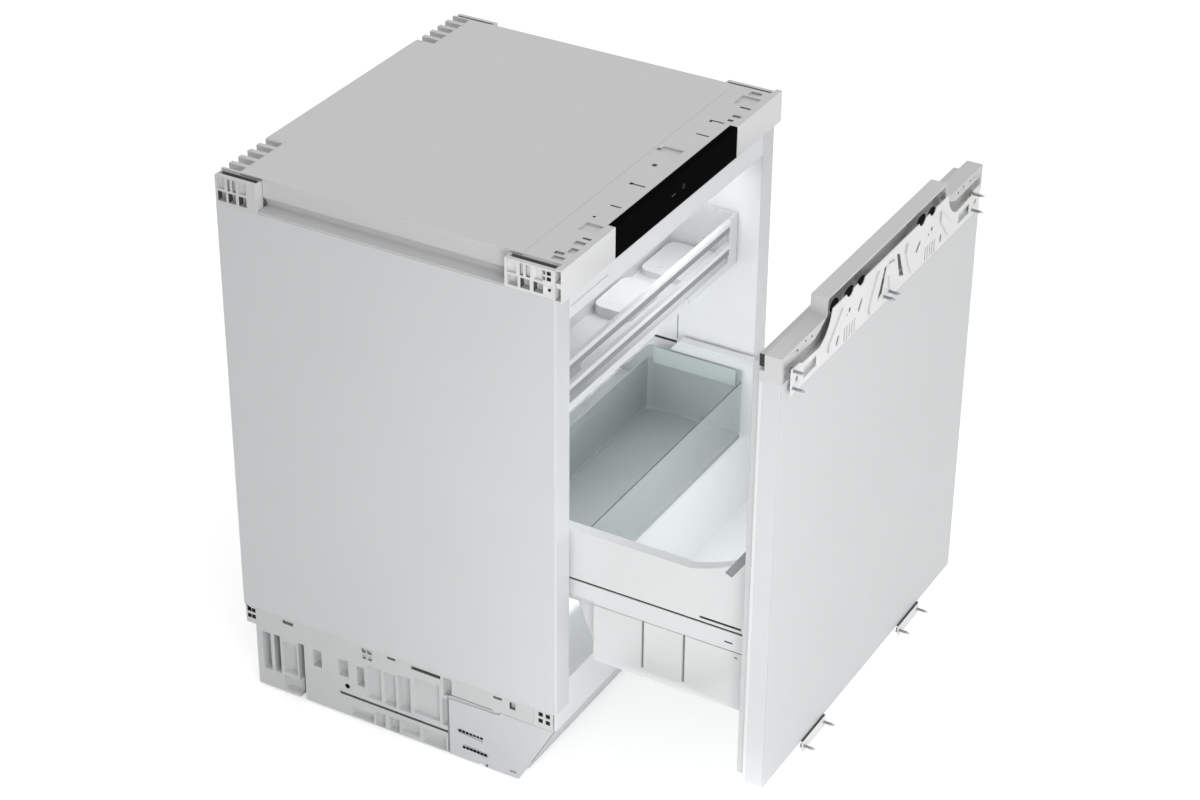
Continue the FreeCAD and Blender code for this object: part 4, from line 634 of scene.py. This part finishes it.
def darkNitrileSeat():
    # dark grey and dull: the print of the marks on the control glass, and painted shade where
    # the angle brackets meet the door
    return grained(mouldedPlastic, "darkNitrileSeat", "3a3b3c", "444546", grain=3.0, depth=0.03,
                   gloss=0.6)


def mattBlackPolyamide():
    # painted shade: matt black as an unlit opening, with hardly any sheen, for pieces put where
    # there is only shade
    return grained(mouldedPlastic, "mattBlackPolyamide", "050505", "090909", grain=2.0, depth=0.02,
                   gloss=0.85, values={"IOR": 1.15})


def thickStyreneBand():
    # the moulded end wall seen through its thickness: a paler grey-green, clean gloss
    return grained(mouldedPlastic, "thickStyreneBand", "b9c4c2", "c0cac8", grain=60.0, depth=0.02,
                   gloss=0.2)


def tintedStyreneEdge():
    # cut edge of clear plastic: dark grey-green, because light runs along the wall
    return grained(mouldedPlastic, "tintedStyreneEdge", "4e5655", "5a6261", grain=20.0, depth=0.02,
                   gloss=0.25)


grooveGrey = darkVinylStrip()
printAndShadeGrey = darkNitrileSeat()
blackShade = mattBlackPolyamide()
bandTint = thickStyreneBand()
edgeTint = tintedStyreneEdge()


def clearBoxEdges():
    # dark top edge of the low front wall and of its left end, and the band of the right end
    values = {
        "inset": 6.0, "back": 0.5,              # from the box's sides and front to the wall
        "drop": 16.0,                           # from the box's rim down to the wall's top
        "wide": 1.5, "tall": 0.35,              # section of the edge
        "endFar": 5.4, "endNear": 4.0, "endBack": 20.0,
        "bandNear": 3.1, "bandFar": 3.3, "bandFront": 12.0, "bandBack": 9.0,
        "bandDown": 14.0, "bandUp": 14.5}
    low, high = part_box("clear_box")
    left, right = low.x / mm + values["inset"], high.x / mm - values["inset"]
    front = low.y / mm + values["back"]
    top = high.z / mm - values["drop"]
    slab("clearBoxFrontEdge", "clear_box", (left, front, top),
         (right, front + values["wide"], top + values["tall"]), "clear_plastic", edgeTint)
    slab("clearBoxBand", "clear_box",
         (right + values["bandNear"], front + values["bandFront"], top - values["bandDown"]),
         (right + values["bandFar"], high.y / mm - values["bandBack"], top + values["bandUp"]),
         "clear_plastic", bandTint)
    slab("clearBoxSideEdge", "clear_box", (left - values["endFar"], front + values["wide"], top),
         (left - values["endNear"], front + values["endBack"], top + values["tall"]),
         "clear_plastic", edgeTint)


def carriageStrips():
    # on each side a dark strip over the runner that paints the shade in the gap under the side,
    # a closing strip that hangs under it, dark grey strips in the shell's grooves and a black
    # piece in the slot of the side that paints the shade in the slot
    values = {
        "end": 2.0,                             # free length at each end of the runner
        "damperRecess": 1.3, "damperThick": 12.0, "damperGap": 0.2,
        "closeFar": 3.1, "closeGap": 0.1, "closeBack": -123.0, "closeLow": 304.95,
        "grooves": (-196.9, -258.0), "grooveWide": 2.4, "grooveFoot": 227.0, "grooveTop": 302.0,
        "grooveFar": 1.5, "grooveNear": 0.9,    # how deep a strip lies in its groove
        "slot": ((-340.0, -283.0), (341.8, 344.2)), "slotFar": 2.8, "slotNear": 1.4}
    runner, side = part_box("drawer_runner_left"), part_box("carriage_side_left")
    runnerOut, sideOut = -runner[0].x / mm, -side[0].x / mm
    shellOut = edgeOf("carriage_shell", 0, 1)
    front = runner[0].y / mm + values["end"]
    back = runner[1].y / mm - values["end"]
    for hand, mark in hands:
        # painted shade: a dark strip in the gap between the runner and the side
        out = runnerOut - values["damperRecess"]
        slab("damperStrip" + hand, "carriage_side_left",
             *paired(mark, out - values["damperThick"], out, (front, back),
                     (runner[1].z / mm + values["damperGap"], side[0].z / mm - values["damperGap"])),
             "mount_rubber")
        slab("closingStrip" + hand, "carriage_shell",
             *paired(mark, runnerOut - values["closeFar"], runnerOut - values["closeGap"],
                     (front, values["closeBack"]),
                     (values["closeLow"], runner[0].z / mm - values["closeGap"])),
             "white_carriage")
        for k, y in enumerate(values["grooves"]):
            half = values["grooveWide"] / 2
            slab("grooveStrip" + hand + str(k), "carriage_shell",
                 *paired(mark, shellOut - values["grooveFar"], shellOut - values["grooveNear"],
                         (y - half, y + half), (values["grooveFoot"], values["grooveTop"])),
                 "grey_insert", grooveGrey)
        # painted shade: a black piece in the slot of the side
        slab("slotCatch" + hand, "carriage_side_left",
             *paired(mark, sideOut - values["slotFar"], sideOut - values["slotNear"], *values["slot"]),
             "black_plastic", blackShade)


def carriageMarks():
    # small marks on the left side: the runner's latch, two clips and the gusset at the door
    values = {
        "latch": ((-329.6, 315.3), (-318.0, 317.6)), "latchProud": 0.08,
        "clips": ((-348.0, 288.0), (-337.0, 293.0)), "clipLong": 5.0, "clipTall": 2.5,
        "clipProud": 0.5, "clipSunk": 0.2,
        "gusset": [(-316, 424), (-326, 420), (-344, 447), (-344, 467)], "gussetThick": 0.12}
    shellOut = edgeOf("carriage_shell", 0, 1)
    sideMark("runnerMark", "drawer_runner_left", *values["latch"], "black_plastic",
             proud=values["latchProud"])
    for k, (y, z) in enumerate(values["clips"]):
        slab("boxClip" + str(k), "carriage_shell", (-shellOut - values["clipProud"], y, z),
             (-shellOut + values["clipSunk"], y + values["clipLong"], z + values["clipTall"]),
             "grey_insert")
    sheetPatch("doorGusset", "carriage_side_left", edgeOf("carriage_side_left", 0, 0),
               values["gusset"], values["gussetThick"], "grey_insert")


def controlMarks():
    # printed marks on the control glass: a dash and a small ring
    values = {
        "dash": ((-18.0, 796.4), (-7.0, 797.8)),    # (x, z) corners
        "ringAt": (14.9, 798.2), "ringOuter": 3.2, "ringInner": 2.3,
        "proud": 0.06}
    front = edgeOf("control_panel", 1, 0)
    (left, foot), (right, top) = values["dash"]
    slab("dashMark", "control_panel", (left, front - values["proud"], foot), (right, front, top),
         "grey_insert", printAndShadeGrey)
    bm = bmesh.new()
    outer = bmesh.ops.create_circle(bm, segments=32, radius=values["ringOuter"] * mm)["verts"]
    inner = bmesh.ops.create_circle(bm, segments=32, radius=values["ringInner"] * mm)["verts"]
    bmesh.ops.bridge_loops(bm, edges=bm.edges)
    ringX, ringZ = values["ringAt"]
    for vert in outer + inner:
        x, y, z = vert.co
        vert.co = Vector((ringX * mm + x, (front - values["proud"]) * mm, ringZ * mm + y))
    bmesh.ops.reverse_faces(bm, faces=bm.faces)
    pieceFrom(bm, "ringMark", bodyOf("control_panel"), "grey_insert", printAndShadeGrey)


def bracketShadePlugs():
    # black pieces in the door cap, seen through the bracket's holes and notches, and behind its
    # two grilles: painted shade where there is only shade
    values = {
        "back": -405.0, "deep": 0.5,
        "holes": [                                  # x, z, width and height of each plug
            (-166, 796, 24, 17), (-124, 794, 26, 15), (-90, 792, 26, 14), (89, 796, 26, 15),
            (121, 793, 24, 14), (-87.5, 758.5, 13, 16), (-119.5, 766.6, 8, 8),
            (-151, 738.5, 10, 14), (84, 759.5, 14, 15), (125.7, 766.6, 8, 8),
            (157, 738.5, 7.5, 13)],
        "grilles": (-135.5, 104.5), "grilleWide": 37.0,
        "grilleFront": -405.2, "grilleBack": -404.9, "grilleFoot": 727.8, "grilleTop": 747.5}
    for k, (x, z, wide, tall) in enumerate(values["holes"]):
        plug("capPlug" + str(k), "door_top_cap", (x, values["back"], z), wide, tall,
             values["deep"], "black_plastic", blackShade)
    for k, left in enumerate(values["grilles"]):
        # a black sheet behind each grille: painted shade
        slab("grilleBack" + str(k), "front_bracket",
             (left, values["grilleFront"], values["grilleFoot"]),
             (left + values["grilleWide"], values["grilleBack"], values["grilleTop"]),
             "black_plastic", blackShade)


def coverGrilles():
    # two rows of short black marks on the left cover that paint the shade in its vents, the
    # joints round it and a mark at its foot
    values = {
        "rows": ((26.4, 47.2), (20.4, 20.3)),       # (y, z) where each row starts
        "vent": 4.4, "pitch": 5.8, "tall": 3.6, "count": 7,
        "joint": ((81.2, 5.0), (83.4, 100.0)),      # (y, z) corners of these three
        "topJoint": ((10.0, 104.9), (83.4, 105.9)),
        "footMark": ((18.6, 2.6), (21.6, 7.0))}
    for row, (start, z) in enumerate(values["rows"]):
        for k in range(values["count"]):
            y = start + k * values["pitch"]
            sideMark("vent" + str(row) + str(k), "side_cover_left", (y, z),
                     (y + values["vent"], z + values["tall"]), "black_plastic", blackShade)
    sideMark("coverJoint", "side_cover_left", *values["joint"], "grey_insert")
    sideMark("coverTopJoint", "side_cover_left", *values["topJoint"], "black_plastic")
    sideMark("coverFootMark", "side_cover_left", *values["footMark"], "black_plastic")


def angleShadeStrips():
    # dark strip between each angle bracket and the foot of the door: painted shade where they meet
    values = {"inner": 117.0, "outer": 185.0, "front": -404.5, "back": -401.6, "tall": 0.8}
    foot = edgeOf("angle_brackets", 2, 1)
    for hand, mark in hands:
        slab("angleSeat" + hand, "angle_brackets",
             *paired(mark, values["inner"], values["outer"], (values["front"], values["back"]),
                     (foot, foot + values["tall"])),
             "black_plastic", printAndShadeGrey)


def linerPanel():
    # joint of the duct panel on the right wall of the liner, and a black line at its foot that
    # paints the panel's shadow
    values = {
        "wall": 264.0,
        "jointDeep": 0.4, "joint": ((34.4, 404.0), (35.8, 556.0)),    # (y, z) corners
        "footDeep": 0.6, "foot": ((36.0, 396.0), (78.0, 399.5))}
    for name, part, slot in (("ductJoint", "joint", "grey_insert"), ("ductFoot", "foot", "black_plastic")):
        low, high = values[part]
        slab(name, "inner_liner", (values["wall"] - values[part + "Deep"], *low),
             (values["wall"], *high), slot)


clearBoxEdges()
carriageStrips()
carriageMarks()
controlMarks()
bracketShadePlugs()
coverGrilles()
angleShadeStrips()
linerPanel()
# a black mark at the left end of the door cap: painted shade in the hollow end of the gasket
sideMark("capEndClip", "door_top_cap", (-378.0, 768.0), (-371.8, 785.0), "black_plastic")
print("fitted pieces made")


# floor, light and camera, with their places in metres

def seenDirectly(tree):
    # 1 for what the camera, a reflection or a clear wall shows, 0 for the light on the object
    path = addNode(tree, "ShaderNodeLightPath", {}).outputs
    seen = addNode(tree, "ShaderNodeMath", {"operation": "MAXIMUM", 0: path["Is Camera Ray"],
                                            1: path["Is Glossy Ray"]})
    return addNode(tree, "ShaderNodeMath", {"operation": "MAXIMUM", 0: seen.outputs[0],
                                            1: path["Is Transmission Ray"]}).outputs[0]


def makeFloor():
    # a wide pale floor that keeps the object's shadow and looks near white
    values = {"half": 6.0, "tone": "f6f6f6", "glow": 0.45}
    bm = bmesh.new()
    bmesh.ops.create_grid(bm, x_segments=1, y_segments=1, size=values["half"])
    mesh = bpy.data.meshes.new("floor")
    bm.to_mesh(mesh)
    bm.free()
    floor = bpy.data.objects.new("floor", mesh)
    bpy.context.scene.collection.objects.link(floor)
    finish = bpy.data.materials.new("paintedStudioFloor")
    finish.use_nodes = True
    tree = finish.node_tree
    tree.nodes.clear()
    matt = addNode(tree, "ShaderNodeBsdfDiffuse", {"Color": colour(values["tone"])})
    level = addNode(tree, "ShaderNodeMath", {"operation": "MULTIPLY", 0: seenDirectly(tree),
                                             1: values["glow"]})
    glow = addNode(tree, "ShaderNodeEmission", {"Color": (1, 1, 1, 1), "Strength": level.outputs[0]})
    both = addNode(tree, "ShaderNodeAddShader", {0: matt.outputs[0], 1: glow.outputs[0]})
    addNode(tree, "ShaderNodeOutputMaterial", {"Surface": both.outputs[0]})
    floor.data.materials.append(finish)


def makeWorld():
    # a dim surround, brighter from above, from the front and from behind, and white to look at
    values = {"base": 0.07, "lobes": [((0, 0, 1), 0.49), ((0, -1, 0), 0.66), ((0.7, 0.7, 0), 0.8)]}
    world = bpy.data.worlds.new("studio")
    bpy.context.scene.world = world
    world.use_nodes = True
    tree = world.node_tree
    tree.nodes.clear()
    place = addNode(tree, "ShaderNodeTexCoord", {}).outputs["Generated"]
    level = addNode(tree, "ShaderNodeValue", {}).outputs[0]
    level.default_value = values["base"]
    for towards, gain in values["lobes"]:
        facing = addNode(tree, "ShaderNodeVectorMath", {"operation": "DOT_PRODUCT", 0: place,
                                                        1: towards})
        lobe = addNode(tree, "ShaderNodeMapRange", {"Value": facing.outputs["Value"],
                                                    "To Max": gain})
        level = addNode(tree, "ShaderNodeMath", {"operation": "ADD", 0: level,
                                                 1: lobe.outputs["Result"]}).outputs[0]
    soft = addNode(tree, "ShaderNodeBackground", {"Color": (1, 1, 1, 1), "Strength": level})
    white = addNode(tree, "ShaderNodeBackground", {"Color": (1, 1, 1, 1), "Strength": 1.0})
    both = addNode(tree, "ShaderNodeMixShader", {0: seenDirectly(tree), 1: soft.outputs[0],
                                                 2: white.outputs[0]})
    addNode(tree, "ShaderNodeOutputWorld", {"Surface": both.outputs[0]})


# two lamps in the open gap travel with the drawer, the others stand still
lamps = {
    "sideSoftbox": {"size": (0.7, 0.9), "watts": 8.6, "mirrored": True, "place": (-1.5, -1.1, 0.7),
                    "at": (-0.3, -0.1, 0.45)},
    "gapSoftbox": {"size": (0.5, 0.18), "watts": 0.15, "rides": "drawer", "place": (0.0, -0.24, 0.72),
                   "at": (0.0, -0.24, 0.2)},
    "cabinetLamp": {"size": (0.12, 0.03), "watts": 0.08, "place": (0.06, -0.07, 0.728),
                    "at": (0.10, 0.05, 0.2)},
    "spaceLamp": {"size": (0.4, 0.08), "watts": 0.22, "place": (-0.02, 0.02, 0.545),
                  "at": (0.0, -0.05, 0.3)},
    "trayLamp": {"size": (0.2, 0.03), "watts": 0.17, "place": (0.11, -0.015, 0.728),
                 "at": (0.13, 0.04, 0.6)},
    "gapFill": {"size": (0.08, 0.4), "watts": 0.25, "place": (-0.75, -0.26, 0.40),
                "at": (-0.25, -0.24, 0.34)},
    "lowFill": {"size": (0.3, 0.05), "watts": 0.3, "place": (-0.08, -0.02, 0.238),
                "at": (-0.05, 0.3, 0.20)},
    "leftFill": {"size": (0.25, 0.16), "watts": 0.5, "place": (-0.24, 0.05, 0.50),
                 "at": (0.26, 0.05, 0.50)},
    "boxFill": {"size": (0.26, 0.05), "watts": 0.34, "rides": "drawer", "place": (0.0, -0.335, 0.43),
                "at": (0.0, -0.10, 0.33)},
    "plinthFill": {"size": (0.5, 0.06), "watts": 0.08, "place": (-0.45, -0.25, 0.12),
                   "at": (-0.2, -0.10, 0.12)}}


def makeLamp(name, values):
    # an area lamp that the camera doesn't see, and reflections only if it is mirrored
    data = bpy.data.lights.new(name, "AREA")
    data.shape = "RECTANGLE"
    data.size, data.size_y = values["size"]
    data.energy = values["watts"]
    lamp = bpy.data.objects.new(name, data)
    lamp.visible_camera = False
    lamp.visible_glossy = values.get("mirrored", False)
    bpy.context.scene.collection.objects.link(lamp)
    aim = Vector(values["at"]) - Vector(values["place"])
    turn = aim.to_track_quat("-Z", "Y").to_matrix().to_4x4()
    lamp.matrix_world = Matrix.Translation(values["place"]) @ turn
    if "rides" in values:
        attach(lamp, values["rides"])


def makeCamera():
    # solved from sixteen edges of the photograph; focal length and centre in its pixels
    values = {
        "azimuth": -60.21, "elevation": 31.46, "roll": 0.37, "place": (-2.9336, -1.6502, 2.5053),
        "focal": 2860.2, "centre": (590.8, 401.0), "frame": (1200, 800), "sensor": 36.0,
        "farthest": 50}
    wide, tall = values["frame"]
    azimuth, elevation, roll = (math.radians(values[key]) for key in ("azimuth", "elevation", "roll"))
    back = Vector((math.sin(azimuth) * math.cos(elevation), -math.cos(azimuth) * math.cos(elevation),
                   math.sin(elevation)))
    across = Vector((0, 0, 1)).cross(back).normalized()
    above = back.cross(across)
    right = math.cos(roll) * across + math.sin(roll) * above
    up = -math.sin(roll) * across + math.cos(roll) * above
    data = bpy.data.cameras.new("camera")
    data.sensor_width = values["sensor"]
    data.lens = values["focal"] * values["sensor"] / wide
    data.shift_x = (wide / 2 - values["centre"][0]) / wide
    data.shift_y = (values["centre"][1] - tall / 2) / wide
    data.clip_end = values["farthest"]
    camera = bpy.data.objects.new("camera", data)
    bpy.context.scene.collection.objects.link(camera)
    turn = Matrix((right, up, back)).transposed().to_4x4()
    camera.matrix_world = Matrix.Translation(values["place"]) @ turn
    bpy.context.scene.camera = camera


makeFloor()
makeWorld()
for lampName, lampValues in lamps.items():
    makeLamp(lampName, lampValues)
makeCamera()
bpy.context.scene.view_settings.view_transform = "Standard"
print("floor, lamps and camera made:", len(lamps), "lamps")

bpy.context.view_layer.update()
